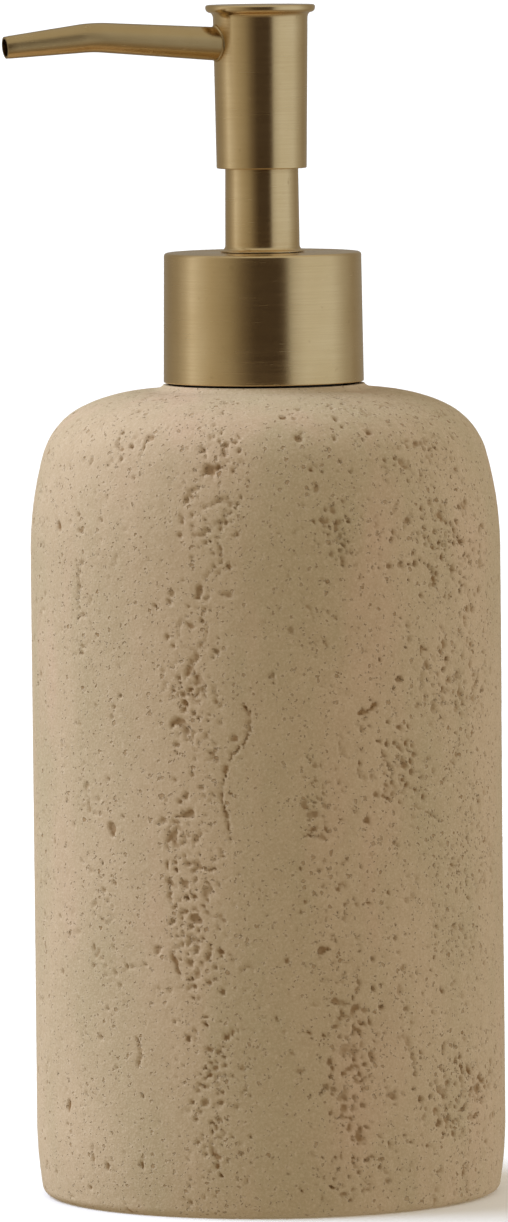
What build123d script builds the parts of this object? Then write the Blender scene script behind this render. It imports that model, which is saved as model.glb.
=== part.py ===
from build123d import *
import math
import os

# A soap dispenser: a thick bottle of porous stone with a screw-on pump of brushed metal.
# The frame's origin is the centre of the underside. +Z is up, and the spout points along -X.
# Every length is in millimetres, and every height is above the surface it stands on.

# ---- driving dimensions: bottle ----
BODY_RADIUS = 37.6
PAD_PROUD = 0.2  # how far the foam pad stands below the stone
SHOULDER_START = 103.3  # where the straight side ends
SHOULDER_ARCS = [(57.3, 15.7), (12.1, 65.4), (26.9, 90.0)]  # radius, angle of the normal at its end
LAND_RADIUS = 16.2  # the raised ring of stone under the collar
LAND_TOP = 129.5
LAND_EDGE_RADIUS = 0.2
FOOT_ARC_RADIUS = 67.0  # the side draws in a little towards the foot
FOOT_ARC_HEIGHT = 12.0
FOOT_EDGE_RADIUS = 1.5
CHAMBER_RADIUS = 31.0
CHAMBER_FLOOR = 7.5
CHAMBER_CORNER = 6.0
CHAMBER_SHOULDER = 101.0
MOUTH_RADIUS = 13.25
INSERT_FLANGE_RADIUS = 14.35
INSERT_FLANGE_THICKNESS = 1.0
INSERT_BOTTOM = 119.0
INSERT_CLEARANCE = 0.05
INSERT_GROOVES = (121.0, 123.5, 126.0)  # undersides of the grooves that hold the glue
INSERT_GROOVE_HEIGHT = 0.9
INSERT_GROOVE_DEPTH = 0.5
PAD_RADIUS = 30.0
PAD_THICKNESS = 1.2
PAD_CLEARANCE = 0.2
PAD_EDGE_RADIUS = 0.15

# ---- driving dimensions: neck finish, 28 mm ----
NECK_TOP = 146.6
NECK_BORE = 11.35
NECK_ROOT = 12.55
NECK_CREST = 13.75
NECK_CHAMFER = 0.4
THREAD_PITCH = 4.233
THREAD_CLEARANCE = 0.1
THREAD_HALF_ROOT = 1.15  # half the ridge's height at its root
THREAD_HALF_CREST = 0.45
THREAD_SUNK = 0.15  # how far the ridge reaches into its wall
NECK_THREAD_BOTTOM = 136.8
NECK_THREAD_TURNS = 1.75
LINER_THREAD_BOTTOM = 134.4
LINER_THREAD_TURNS = 1.5

# ---- driving dimensions: collar ----
COLLAR_BOTTOM = 130.15
COLLAR_TOP = 150.8
COLLAR_RADIUS_BOTTOM = 16.0
COLLAR_RADIUS_TOP = 15.76
LINER_RADIUS = 15.3
LINER_ROOT = 14.6
COLLAR_PLATE = 0.6  # thickness of the shell's top
COLLAR_HOLE_GAP = 0.35
COLLAR_TOP_EDGE = 0.5
COLLAR_BOTTOM_EDGE = 0.35
LINER_BOTTOM = 130.6
LINER_PLATE = 1.2
BEARING_CLEARANCE = 0.08

# ---- driving dimensions: pump ----
GASKET_THICKNESS = 1.0
FACE_GAP = 0.05  # between flat faces that turn on each other or lift apart
FLANGE_RADIUS = 12.6
FLANGE_THICKNESS = 1.2
BARREL_RADIUS = 6.9
BARREL_BORE = 6.0
SPRING_LEDGE = 95.6
INLET_THROAT_RADIUS = 1.5
INLET_CONE_BOTTOM = 89.25
INLET_CONE_TOP = 90.5
NIPPLE_SHOULDER = 88.0
BALL_STOP_BOTTOM = 94.1
BALL_STOP_RADIUS = 2.0  # how near to the axis the three stops come
BALL_STOP_WIDTH = 0.9
BALL_STOP_LENGTH = 1.1
BALL_STOP_HEIGHT = 1.1
VENT_RADIUS = 0.6
VENT_DROP = 4.5
NIPPLE_BOTTOM = 76.5
NIPPLE_RADIUS = 4.3
TUBE_RADIUS = 3.0
TUBE_BORE = 2.1
TUBE_TOP = 86.5
TUBE_BOTTOM = 11.0
TUBE_SLANT = 40.0
GUIDE_PLUG_BOTTOM = 139.0
GUIDE_NECK_RADIUS = 5.5
GUIDE_TOP = 162.5
GUIDE_WALL = 1.1
GUIDE_RELIEF_RADIUS = 4.4
GUIDE_EDGE_RADIUS = 0.4
BEARING_LENGTH = 2.5
STEM_RADIUS = 3.0
STEM_BORE = 1.5
STEM_TOP = 181.5
STEM_CONE = 0.6  # height and width of the outlet ball's seat
SLEEVE_TOP = 167.7
SLEEVE_TOP_RADIUS = 5.8
SLEEVE_BOTTOM_RADIUS = 5.95
SLEEVE_CLEARANCE = 0.02
SLEEVE_FOOT_RADIUS = 6.75
SLEEVE_FOOT_THICKNESS = 0.15
SLEEVE_FLARE_HEIGHT = 1.3
SPRING_WIRE_RADIUS = 0.45
SPRING_COIL_RADIUS = 4.85
SPRING_TURNS = 9
SPRING_END_GAP = 0.1
SEAL_LIP_CLEARANCE = 0.07
SEAL_WAIST_RADIUS = 4.6
SEAT_FLANGE_THICKNESS = 1.2
SEAT_FLANGE_CLEARANCE = 0.4
SEAT_PLUG_RADIUS = 1.75
SEAT_PLUG_LENGTH = 6.0
SEAT_CHANNEL_RADIUS = 1.1
SPIGOT_RADIUS = 3.9
SPIGOT_LENGTH = 4.0
SPIGOT_TIP_RADIUS = 3.2
SPIGOT_TIP_LENGTH = 1.0

# ---- driving dimensions: head ----
STROKE = 12.0
HEAD_BOTTOM = 164.2
LIP_UNDERSIDE = 189.0
HEAD_TOP = 190.25
LIP_RADIUS = 8.76
HEAD_RADIUS_BOTTOM = 7.2
HEAD_RADIUS_TOP = 7.55
HEAD_BORE = 6.65
HEAD_EDGE_RADIUS = 0.3
FLARE_RADIUS = 8.1
FLARE_MIDDLE = (7.72, 188.67)
FLARE_HEIGHT = 0.9
LIP_TOP_EDGE = 0.45
LIP_LOWER_EDGE = 0.55
CAP_SPIGOT_LENGTH = 1.8
CAP_CLEARANCE = 0.02
CORE_BOTTOM = 180.3
CORE_TOP = 187.15
BOSS_RADIUS = 4.6
BOSS_BOTTOM = 175.2
SOCKET_CLEARANCE = 0.05
SOCKET_STOP = 0.1
CHAMBER_TOP = 186.0
CHAMBER_CLEARANCE = 0.35
CHANNEL_RADIUS = 1.9
CHANNEL_LENGTH = 4.0
SPOUT_WALL = 0.45
SPOUT_START = (-3.4, 183.85)
SPOUT_BEND = (-27.9, 185.5)
SPOUT_TIP = (-42.5, 184.05)
SPOUT_BEND_RADIUS = 25.0
SPOUT_RADII = (2.74, 2.38, 2.28, 1.78)  # at the start, both ends of the bend and the tip

INLET_BALL_RADIUS = 2.38
OUTLET_BALL_RADIUS = 2.0
BALL_GAP = 0.06


# ---- helpers ----
def turned(*edges):
    """A solid of revolution about Z from the edges of its closed half outline, in (radius, height)."""
    face = make_face(Plane.XZ * Curve(edges_of(edges)))
    return revolve(face, Axis.Z)


def edges_of(lines):
    """The single edges of several lines."""
    return [edge for line in lines for edge in line.edges()]


def turned_points(*points):
    """A solid of revolution from a closed half outline of straight lines."""
    return turned(Polyline(*points, close=True))


def ring(inner, outer, bottom, top):
    """A plain ring between two radii and two heights."""
    return turned_points((inner, bottom), (outer, bottom), (outer, top), (inner, top))


def rod(radius, bottom, top):
    """A plain cylinder about Z between two heights."""
    return Pos(0, 0, bottom) * Cylinder(radius, top - bottom, align=(Align.CENTER, Align.CENTER, Align.MIN))


def circles_at(shape, height, radius=None, tolerance=0.02):
    """The circular edges of a turned solid at one height, and of one radius where it is given."""
    found = []
    for edge in shape.edges().filter_by(GeomType.CIRCLE):
        if abs(edge.center(CenterOf.BOUNDING_BOX).Z - height) > tolerance:
            continue
        if radius is None or abs(edge.radius - radius) < tolerance:
            found.append(edge)
    return found


def tangent_arcs(start, arcs):
    """Arcs that follow each other smoothly from an upright wall and lean inwards, and where they end."""
    x, z = start
    angle = 0.0
    lines = []
    for radius, end_degrees in arcs:
        end = math.radians(end_degrees)
        centre = (x - radius * math.cos(angle), z - radius * math.sin(angle))
        on_arc = [
            (centre[0] + radius * math.cos(t), centre[1] + radius * math.sin(t))
            for t in (angle, (angle + end) / 2, end)
        ]
        lines.append(ThreePointArc(*on_arc))
        x, z = on_arc[2]
        angle = end
    return lines, (x, z)


def thread(root, crest, bottom, turns):
    """One helical thread ridge. It stands outwards where crest is over root, and inwards where it isn't."""
    sunk = THREAD_SUNK if crest > root else -THREAD_SUNK
    height = THREAD_PITCH * turns
    path = Helix(THREAD_PITCH, height, root, center=(0, 0, bottom))
    section = Plane(origin=(0, 0, bottom), x_dir=(1, 0, 0), z_dir=(0, -1, 0)) * make_face(
        Polyline(
            (root - sunk, -THREAD_HALF_ROOT),
            (crest, -THREAD_HALF_CREST),
            (crest, THREAD_HALF_CREST),
            (root - sunk, THREAD_HALF_ROOT),
            close=True,
        )
    )
    return sweep(section, path=path, is_frenet=True)


# ---- bottle ----
def stone_top():
    """The height at which the shoulder ends, level with the insert's flange."""
    return tangent_arcs((BODY_RADIUS, SHOULDER_START), SHOULDER_ARCS)[1][1]


def make_stone_body():
    """The stone bottle: its land around the stepped mouth, its chamber, and the recess for the pad."""
    shoulder, shoulder_end = tangent_arcs((BODY_RADIUS, SHOULDER_START), SHOULDER_ARCS)
    drop = FOOT_ARC_HEIGHT - PAD_PROUD
    foot_radius = BODY_RADIUS - FOOT_ARC_RADIUS + math.sqrt(FOOT_ARC_RADIUS**2 - drop**2)
    foot_edge = (foot_radius, PAD_PROUD)
    foot = RadiusArc(foot_edge, (BODY_RADIUS, FOOT_ARC_HEIGHT), -FOOT_ARC_RADIUS)
    side = Line((BODY_RADIUS, FOOT_ARC_HEIGHT), (BODY_RADIUS, SHOULDER_START))
    rest = Polyline(shoulder_end, (0, shoulder_end[1]), (0, PAD_PROUD), foot_edge)
    body = turned(foot, side, *shoulder, rest)
    body = fillet(circles_at(body, PAD_PROUD, foot_radius), FOOT_EDGE_RADIUS)
    top = shoulder_end[1]
    land = rod(LAND_RADIUS, top - 1, LAND_TOP)
    body += fillet(circles_at(land, LAND_TOP, LAND_RADIUS), LAND_EDGE_RADIUS)

    vault, vault_end = tangent_arcs(
        (CHAMBER_RADIUS, CHAMBER_SHOULDER), [(CHAMBER_RADIUS - MOUTH_RADIUS, 90.0)]
    )
    wall = Line((CHAMBER_RADIUS, CHAMBER_FLOOR), (CHAMBER_RADIUS, CHAMBER_SHOULDER))
    core = Polyline(vault_end, (0, vault_end[1]), (0, CHAMBER_FLOOR), (CHAMBER_RADIUS, CHAMBER_FLOOR))
    chamber = turned(wall, *vault, core)
    chamber = fillet(circles_at(chamber, CHAMBER_FLOOR, CHAMBER_RADIUS), CHAMBER_CORNER)

    mouth = rod(MOUTH_RADIUS, CHAMBER_SHOULDER, LAND_TOP + 1)
    seat = rod(INSERT_FLANGE_RADIUS + INSERT_CLEARANCE, top - INSERT_FLANGE_THICKNESS, LAND_TOP + 1)
    recess = rod(PAD_RADIUS + PAD_CLEARANCE, 0, PAD_THICKNESS)
    return body - chamber - mouth - seat - recess


def make_base_pad():
    """The foam disc in the recess of the underside, with a softened lower edge."""
    pad = rod(PAD_RADIUS, 0, PAD_THICKNESS)
    return fillet(circles_at(pad, 0, PAD_RADIUS), PAD_EDGE_RADIUS)


def make_neck_insert():
    """The plastic neck: a grooved sleeve in the mouth, a flange on the stone and a threaded neck above."""
    top = stone_top()
    outer = MOUTH_RADIUS - INSERT_CLEARANCE
    sleeve = ring(NECK_BORE, outer, INSERT_BOTTOM, top)
    for level in INSERT_GROOVES:
        sleeve -= ring(outer - INSERT_GROOVE_DEPTH, outer + 1, level, level + INSERT_GROOVE_HEIGHT)
    flange = ring(NECK_BORE, INSERT_FLANGE_RADIUS, top - INSERT_FLANGE_THICKNESS, top)
    neck = ring(NECK_BORE, NECK_ROOT, top, NECK_TOP)
    neck = chamfer(circles_at(neck, NECK_TOP, NECK_ROOT), NECK_CHAMFER)
    ridge = thread(NECK_ROOT, NECK_CREST, NECK_THREAD_BOTTOM, NECK_THREAD_TURNS)
    return sleeve + flange + neck + ridge


# ---- collar ----
def make_collar_shell():
    """The metal collar: a slightly tapered cup, open below, with a hole for the pump in its top."""
    plate = COLLAR_TOP - COLLAR_PLATE
    shell = turned_points(
        (LINER_RADIUS, COLLAR_BOTTOM),
        (COLLAR_RADIUS_BOTTOM, COLLAR_BOTTOM),
        (COLLAR_RADIUS_TOP, COLLAR_TOP),
        (GUIDE_NECK_RADIUS + COLLAR_HOLE_GAP, COLLAR_TOP),
        (GUIDE_NECK_RADIUS + COLLAR_HOLE_GAP, plate),
        (LINER_RADIUS, plate),
    )
    shell = fillet(circles_at(shell, COLLAR_TOP, COLLAR_RADIUS_TOP), COLLAR_TOP_EDGE)
    return fillet(circles_at(shell, COLLAR_BOTTOM, COLLAR_RADIUS_BOTTOM), COLLAR_BOTTOM_EDGE)


def make_collar_liner():
    """The screw cap inside the collar, with grip ribs left out and its inner thread ridge."""
    top = COLLAR_TOP - COLLAR_PLATE
    hole = GUIDE_NECK_RADIUS + BEARING_CLEARANCE
    cap = turned_points(
        (LINER_ROOT, LINER_BOTTOM),
        (LINER_RADIUS, LINER_BOTTOM),
        (LINER_RADIUS, top),
        (hole, top),
        (hole, top - LINER_PLATE),
        (LINER_ROOT, top - LINER_PLATE),
    )
    ridge = thread(LINER_ROOT, NECK_CREST + THREAD_CLEARANCE, LINER_THREAD_BOTTOM, LINER_THREAD_TURNS)
    return cap + ridge


# ---- pump ----
def flange_bottom():
    """The underside of the barrel's flange, which presses the gasket onto the neck."""
    return NECK_TOP + FACE_GAP + GASKET_THICKNESS


def make_gasket():
    """The soft ring between flange and neck."""
    return ring(BARREL_RADIUS + 0.1, NECK_ROOT, NECK_TOP + FACE_GAP, flange_bottom())


def make_pump_cylinder():
    """The barrel: flange, bore, spring ledge, ball seat with its stops, and the socket for the tube."""
    top = flange_bottom() + FLANGE_THICKNESS
    ball_bore = INLET_THROAT_RADIUS + INLET_CONE_TOP - INLET_CONE_BOTTOM
    barrel = turned_points(
        (BARREL_BORE, top),
        (FLANGE_RADIUS, top),
        (FLANGE_RADIUS, flange_bottom()),
        (BARREL_RADIUS, flange_bottom()),
        (BARREL_RADIUS, SPRING_LEDGE),
        (NIPPLE_RADIUS, NIPPLE_SHOULDER),
        (NIPPLE_RADIUS, NIPPLE_BOTTOM),
        (TUBE_RADIUS, NIPPLE_BOTTOM),
        (TUBE_RADIUS, TUBE_TOP),
        (INLET_THROAT_RADIUS, TUBE_TOP),
        (INLET_THROAT_RADIUS, INLET_CONE_BOTTOM),
        (ball_bore, INLET_CONE_TOP),
        (ball_bore, SPRING_LEDGE),
        (BARREL_BORE, SPRING_LEDGE),
    )
    stop = Box(BALL_STOP_LENGTH, BALL_STOP_WIDTH, BALL_STOP_HEIGHT)
    stop = Pos(BALL_STOP_RADIUS + BALL_STOP_LENGTH / 2, 0, BALL_STOP_BOTTOM + BALL_STOP_HEIGHT / 2) * stop
    for turn in range(3):
        barrel += Rot(0, 0, 120 * turn) * stop
    vent = Pos(BARREL_BORE + 0.5, 0, flange_bottom() - VENT_DROP) * Rot(0, 90, 0) * Cylinder(VENT_RADIUS, 3)
    return barrel - vent


def make_stem_guide():
    """The guide that plugs the barrel, with a slim neck through the collar and two bearings inside."""
    flange_top = flange_bottom() + FLANGE_THICKNESS
    bearing = STEM_RADIUS + BEARING_CLEARANCE
    lower_bearing = flange_top - 4.0
    plug_bore = BARREL_BORE - GUIDE_WALL
    guide = turned_points(
        (plug_bore, GUIDE_PLUG_BOTTOM),
        (BARREL_BORE, GUIDE_PLUG_BOTTOM),
        (BARREL_BORE, flange_top),
        (GUIDE_NECK_RADIUS, flange_top),
        (GUIDE_NECK_RADIUS, GUIDE_TOP),
        (bearing, GUIDE_TOP),
        (bearing, GUIDE_TOP - BEARING_LENGTH),
        (GUIDE_RELIEF_RADIUS, GUIDE_TOP - BEARING_LENGTH),
        (GUIDE_RELIEF_RADIUS, lower_bearing + BEARING_LENGTH),
        (bearing, lower_bearing + BEARING_LENGTH),
        (bearing, lower_bearing),
        (plug_bore, lower_bearing),
    )
    return fillet(circles_at(guide, GUIDE_TOP, GUIDE_NECK_RADIUS), GUIDE_EDGE_RADIUS)


def make_neck_sleeve():
    """The metal sleeve over the guide's neck, with a small flared foot on the collar."""
    foot = COLLAR_TOP + 2 * FACE_GAP
    inner = GUIDE_NECK_RADIUS + SLEEVE_CLEARANCE
    rim = foot + SLEEVE_FOOT_THICKNESS
    outline = Polyline(
        (SLEEVE_BOTTOM_RADIUS, foot + SLEEVE_FLARE_HEIGHT),
        (SLEEVE_TOP_RADIUS, SLEEVE_TOP),
        (inner, SLEEVE_TOP),
        (inner, foot),
        (SLEEVE_FOOT_RADIUS, foot),
        (SLEEVE_FOOT_RADIUS, rim),
    )
    flare = ThreePointArc(outline @ 1, (6.2, foot + 0.48), outline @ 0)
    return turned(outline, flare)


def make_dip_tube():
    """The tube from the inlet down to the chamber's floor, its lower end cut at a slant."""
    tube = ring(TUBE_BORE, TUBE_RADIUS, TUBE_BOTTOM, TUBE_TOP)
    cut = Pos(0, 0, TUBE_BOTTOM) * Rot(0, TUBE_SLANT, 0) * Pos(0, 0, -6) * Box(14, 14, 12)
    return tube - cut


def make_return_spring():
    """The coil spring between the barrel's ledge and the piston seat."""
    margin = SPRING_WIRE_RADIUS + SPRING_END_GAP
    bottom = SPRING_LEDGE + margin
    length = piston_bottom() - margin - bottom
    path = Helix(length / SPRING_TURNS, length, SPRING_COIL_RADIUS, center=(0, 0, bottom))
    section = Plane(origin=path @ 0, z_dir=path % 0) * Circle(SPRING_WIRE_RADIUS)
    return sweep(section, path=path, is_frenet=True)


# ---- piston ----
def seal_bottom():
    """The underside of the seal, on the seat's flange."""
    return GUIDE_PLUG_BOTTOM - 8.0


def piston_bottom():
    """The underside of the seat's flange, where the spring pushes."""
    return seal_bottom() - SEAT_FLANGE_THICKNESS


def make_piston_seal():
    """The soft seal: two lips that wipe the barrel, and a waist between them."""
    lip = BARREL_BORE - SEAL_LIP_CLEARANCE
    bottom = seal_bottom()
    return turned_points(
        (STEM_RADIUS, bottom),
        (5.2, bottom),
        (lip, bottom + 0.3),
        (lip, bottom + 1.3),
        (SEAL_WAIST_RADIUS, bottom + 2.3),
        (SEAL_WAIST_RADIUS, bottom + 5.3),
        (lip, bottom + 6.4),
        (lip, bottom + 7.4),
        (5.3, bottom + 7.7),
        (STEM_RADIUS, bottom + 6.2),
    )


def make_piston_seat():
    """The plug in the stem's lower end: a flange for the spring, and a spigot that centres it."""
    flange = BARREL_BORE - SEAT_FLANGE_CLEARANCE
    bottom = piston_bottom()
    tip = bottom - SPIGOT_LENGTH
    plug_top = seal_bottom() + SEAT_PLUG_LENGTH
    return turned_points(
        (SEAT_CHANNEL_RADIUS, tip),
        (SPIGOT_TIP_RADIUS, tip),
        (SPIGOT_RADIUS, tip + SPIGOT_TIP_LENGTH),
        (SPIGOT_RADIUS, bottom),
        (flange, bottom),
        (flange, seal_bottom()),
        (SEAT_PLUG_RADIUS, seal_bottom()),
        (SEAT_PLUG_RADIUS, plug_top),
        (SEAT_CHANNEL_RADIUS, plug_top),
    )


def make_stem():
    """The hollow stem: a socket for the seat's plug below, and the outlet ball's seat on top."""
    bottom = seal_bottom()
    socket_top = bottom + SEAT_PLUG_LENGTH
    return turned_points(
        (SEAT_PLUG_RADIUS, bottom),
        (STEM_RADIUS, bottom),
        (STEM_RADIUS, STEM_TOP),
        (STEM_BORE + STEM_CONE, STEM_TOP),
        (STEM_BORE, STEM_TOP - STEM_CONE),
        (STEM_BORE, socket_top),
        (SEAT_PLUG_RADIUS, socket_top),
    )


# ---- head ----
def make_head_shell(hole):
    """The head's tapered tube, open below, flared under the lip, with a hole for the spout."""
    wall_foot = LIP_UNDERSIDE - FLARE_HEIGHT
    outline = Polyline(
        (HEAD_RADIUS_TOP, wall_foot),
        (HEAD_RADIUS_BOTTOM, HEAD_BOTTOM),
        (HEAD_BORE, HEAD_BOTTOM),
        (HEAD_BORE, LIP_UNDERSIDE),
        (FLARE_RADIUS, LIP_UNDERSIDE),
    )
    flare = ThreePointArc((FLARE_RADIUS, LIP_UNDERSIDE), FLARE_MIDDLE, (HEAD_RADIUS_TOP, wall_foot))
    shell = turned(outline, flare)
    shell = fillet(circles_at(shell, HEAD_BOTTOM, HEAD_RADIUS_BOTTOM), HEAD_EDGE_RADIUS)
    return shell - hole


def make_head_cap():
    """The lip and top plate of the head, with a spigot in the tube."""
    plate = ring(0, LIP_RADIUS, LIP_UNDERSIDE, HEAD_TOP)
    plate = fillet(circles_at(plate, HEAD_TOP, LIP_RADIUS), LIP_TOP_EDGE)
    plate = fillet(circles_at(plate, LIP_UNDERSIDE, LIP_RADIUS), LIP_LOWER_EDGE)
    return plate + rod(HEAD_BORE - CAP_CLEARANCE, LIP_UNDERSIDE - CAP_SPIGOT_LENGTH, LIP_UNDERSIDE)


def make_head_core(hole):
    """The plastic core: a socket on the stem, the outlet ball's chamber, and the way to the spout."""
    socket = STEM_RADIUS + SOCKET_CLEARANCE
    chamber = OUTLET_BALL_RADIUS + CHAMBER_CLEARANCE
    outer = HEAD_BORE - CAP_CLEARANCE
    core = turned_points(
        (socket, BOSS_BOTTOM),
        (BOSS_RADIUS, BOSS_BOTTOM),
        (BOSS_RADIUS, CORE_BOTTOM),
        (outer, CORE_BOTTOM),
        (outer, CORE_TOP),
        (0, CORE_TOP),
        (0, CHAMBER_TOP),
        (chamber, CHAMBER_TOP),
        (chamber, STEM_TOP + SOCKET_STOP),
        (socket, STEM_TOP + SOCKET_STOP),
    )
    channel = Cylinder(CHANNEL_RADIUS, CHANNEL_LENGTH)
    channel = Pos(-CHANNEL_LENGTH / 2, 0, SPOUT_START[1]) * Rot(0, 90, 0) * channel
    return core - hole - channel


def spout_path():
    """The spout's centreline: two straight runs joined by a soft bend."""
    points = [(x, 0, z) for x, z in (SPOUT_START, SPOUT_BEND, SPOUT_TIP)]
    return FilletPolyline(*points, radius=SPOUT_BEND_RADIUS)


def spout_solid(shrink):
    """The spout's outer shape, its radii less by one amount."""
    runs = spout_path().edges().sort_by(Axis.X, reverse=True)
    ends = [runs[0] @ 0, runs[1] @ 0, runs[1] @ 1, runs[2] @ 1]
    ways = [runs[0] % 0, runs[1] % 0, runs[1] % 1, runs[2] % 1]
    sections = [
        Plane(origin=end, z_dir=way) * Circle(radius - shrink)
        for end, way, radius in zip(ends, ways, SPOUT_RADII)
    ]
    return sweep(sections, path=Wire(runs), multisection=True)


def make_spout():
    """The spout: a bent tube that tapers to an open mouth."""
    return spout_solid(0) - spout_solid(SPOUT_WALL)


# ---- valve balls ----
def ball_on_cone(radius, throat, throat_height):
    """A ball that rests on a 45 degree cone, a hair above it."""
    centre = throat_height - throat + radius * math.sqrt(2) + BALL_GAP
    return Pos(0, 0, centre) * Sphere(radius)


def main():
    os.makedirs("parts", exist_ok=True)
    hole = spout_solid(0)
    parts = {
        "stone_body": make_stone_body(),
        "base_pad": make_base_pad(),
        "neck_insert": make_neck_insert(),
        "pump_cylinder": make_pump_cylinder(),
        "stem_guide": make_stem_guide(),
        "neck_sleeve": make_neck_sleeve(),
        "gasket": make_gasket(),
        "return_spring": make_return_spring(),
        "dip_tube": make_dip_tube(),
        "collar_shell": make_collar_shell(),
        "collar_liner": make_collar_liner(),
        "stem": make_stem(),
        "piston_seal": make_piston_seal(),
        "piston_seat": make_piston_seat(),
        "head_shell": make_head_shell(hole),
        "head_cap": make_head_cap(),
        "spout": make_spout(),
        "head_core": make_head_core(hole),
        "inlet_ball": ball_on_cone(INLET_BALL_RADIUS, INLET_THROAT_RADIUS, INLET_CONE_BOTTOM),
        "outlet_ball": ball_on_cone(OUTLET_BALL_RADIUS, STEM_BORE, STEM_TOP - STEM_CONE),
    }
    for node, shape in parts.items():
        shape.label = node
        export_step(shape, f"parts/{node}.step")


main()
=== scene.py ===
import math

import bpy
import numpy as np
from mathutils import Matrix, Vector


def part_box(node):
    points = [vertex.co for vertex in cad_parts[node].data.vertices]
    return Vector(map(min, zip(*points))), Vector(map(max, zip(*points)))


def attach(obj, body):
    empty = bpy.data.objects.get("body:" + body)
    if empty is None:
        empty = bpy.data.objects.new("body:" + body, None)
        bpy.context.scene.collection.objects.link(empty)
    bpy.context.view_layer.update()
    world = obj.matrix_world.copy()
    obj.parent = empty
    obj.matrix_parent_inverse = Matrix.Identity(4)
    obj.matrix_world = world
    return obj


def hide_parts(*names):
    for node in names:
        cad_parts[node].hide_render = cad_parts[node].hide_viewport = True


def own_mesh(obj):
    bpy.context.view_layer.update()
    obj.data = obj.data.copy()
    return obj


# The looks of a soap dispenser: a bottle of porous stone with a pump of brushed brass.
# Lengths are worked out in millimetres and turned into metres by MM when a mesh is made.
# Angles about the bottle's axis are in degrees. FRONT is the side that faces the camera.

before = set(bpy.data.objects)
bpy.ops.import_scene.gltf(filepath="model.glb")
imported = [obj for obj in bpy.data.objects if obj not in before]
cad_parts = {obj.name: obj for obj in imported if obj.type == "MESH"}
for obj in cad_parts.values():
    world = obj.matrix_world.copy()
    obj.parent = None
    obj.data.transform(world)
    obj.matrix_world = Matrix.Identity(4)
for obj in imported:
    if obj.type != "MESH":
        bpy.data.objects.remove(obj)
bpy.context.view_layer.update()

MM = 0.001
FRONT = -108.0  # the direction of the camera about Z, from +X
SEED = 20


# --- places, from the frame
def low(node):
    """A node's lowest corner, in millimetres."""
    return [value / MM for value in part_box(node)[0]]


def high(node):
    """A node's highest corner, in millimetres."""
    return [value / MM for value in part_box(node)[1]]


# --- outlines
def arc(centre, radius, start, end, steps):
    """Points on an arc in (radius, height), its angles in degrees from outwards."""
    angles = np.radians(np.linspace(start, end, steps + 1))
    return [(centre[0] + radius * math.cos(a), centre[1] + radius * math.sin(a)) for a in angles]


def rounded(corners, steps=8, support=0.12):
    """A closed outline with rounded corners. Each corner is (radius from the axis, height, its rounding).

    A straight run gets one more point near each rounding, which keeps its shading flat."""
    points = []
    count = len(corners)
    for i, (x, z, rounding) in enumerate(corners):
        here = Vector((x, z))
        if rounding == 0:
            points.append((x, z))
            continue
        before = (Vector(corners[i - 1][:2]) - here).normalized()
        after = (Vector(corners[(i + 1) % count][:2]) - here).normalized()
        half = before.angle(after) / 2
        reach = rounding / math.tan(half)
        middle = here + (before + after).normalized() * (rounding / math.sin(half))
        first = here + before * reach - middle
        turn = first.angle_signed(here + after * reach - middle)
        points.append(tuple(here + before * (reach + support)))
        for step in range(steps + 1):
            spoke = Matrix.Rotation(-turn * step / steps, 2) @ first
            points.append(tuple(middle + spoke))
        points.append(tuple(here + after * (reach + support)))
    return points


# --- meshes
def mesh_object(name, vertices, faces, sharp=30.0):
    """A smooth-shaded mesh object from vertices in millimetres. Edges over sharp degrees stay sharp."""
    mesh = bpy.data.meshes.new(name)
    sizes = np.array([len(face) for face in faces], dtype=np.int32)
    corners = np.concatenate([np.asarray(face, dtype=np.int32) for face in faces])
    return fill_mesh(name, mesh, vertices, corners, sizes, sharp)


def fill_mesh(name, mesh, vertices, corners, sizes, sharp):
    """Fills a mesh from flat arrays and returns its object."""
    mesh.vertices.add(len(vertices))
    mesh.vertices.foreach_set("co", (np.asarray(vertices, dtype=np.float64) * MM).astype(np.float32).ravel())
    mesh.loops.add(len(corners))
    mesh.loops.foreach_set("vertex_index", corners)
    mesh.polygons.add(len(sizes))
    starts = np.concatenate([[0], np.cumsum(sizes)[:-1]]).astype(np.int32)
    mesh.polygons.foreach_set("loop_start", starts)
    mesh.update(calc_edges=True)
    mesh.validate()
    mesh.polygons.foreach_set("use_smooth", np.ones(len(mesh.polygons), dtype=bool))
    mesh.set_sharp_from_angle(angle=math.radians(sharp))
    made = bpy.data.objects.new(name, mesh)
    bpy.context.scene.collection.objects.link(made)
    return made


def full_turn(count):
    """Evenly spaced angles in radians, from 0."""
    return np.arange(count) * 2 * math.pi / count


def grid_quads(rings, around, closed=True):
    """Quads between rings of around vertices each. closed joins the last ring to the first."""
    row = np.arange(rings if closed else rings - 1)[:, None]
    column = np.arange(around)[None, :]
    here, above = row * around, (row + 1) % rings * around
    beside = (column + 1) % around
    grid = np.broadcast_arrays(here + column, above + column, above + beside, here + beside)
    return np.stack(grid, axis=-1).reshape(-1, 4)


def circle(centre, first, second, radius, around):
    """Points of a circle that starts at the unit vector first and turns towards second."""
    angles = full_turn(around)[:, None]
    spokes = np.cos(angles) * np.asarray(first) + np.sin(angles) * np.asarray(second)
    return np.asarray(centre) + radius * spokes


def turned(outline, around):
    """The vertices of an outline in (radius, height) turned about Z, one ring for each of its points."""
    outline = np.asarray(outline)
    angles = full_turn(around)
    vertices = np.empty((len(outline), around, 3))
    vertices[:, :, 0] = outline[:, :1] * np.cos(angles)
    vertices[:, :, 1] = outline[:, :1] * np.sin(angles)
    vertices[:, :, 2] = outline[:, 1:]
    return vertices.reshape(-1, 3)


def lathe(name, outline, around=192):
    """A turned piece from a closed outline, whose points run anticlockwise: up the outside."""
    quads = grid_quads(len(outline), around)
    return mesh_object(name, turned(outline, around), quads[:, ::-1])


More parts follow.
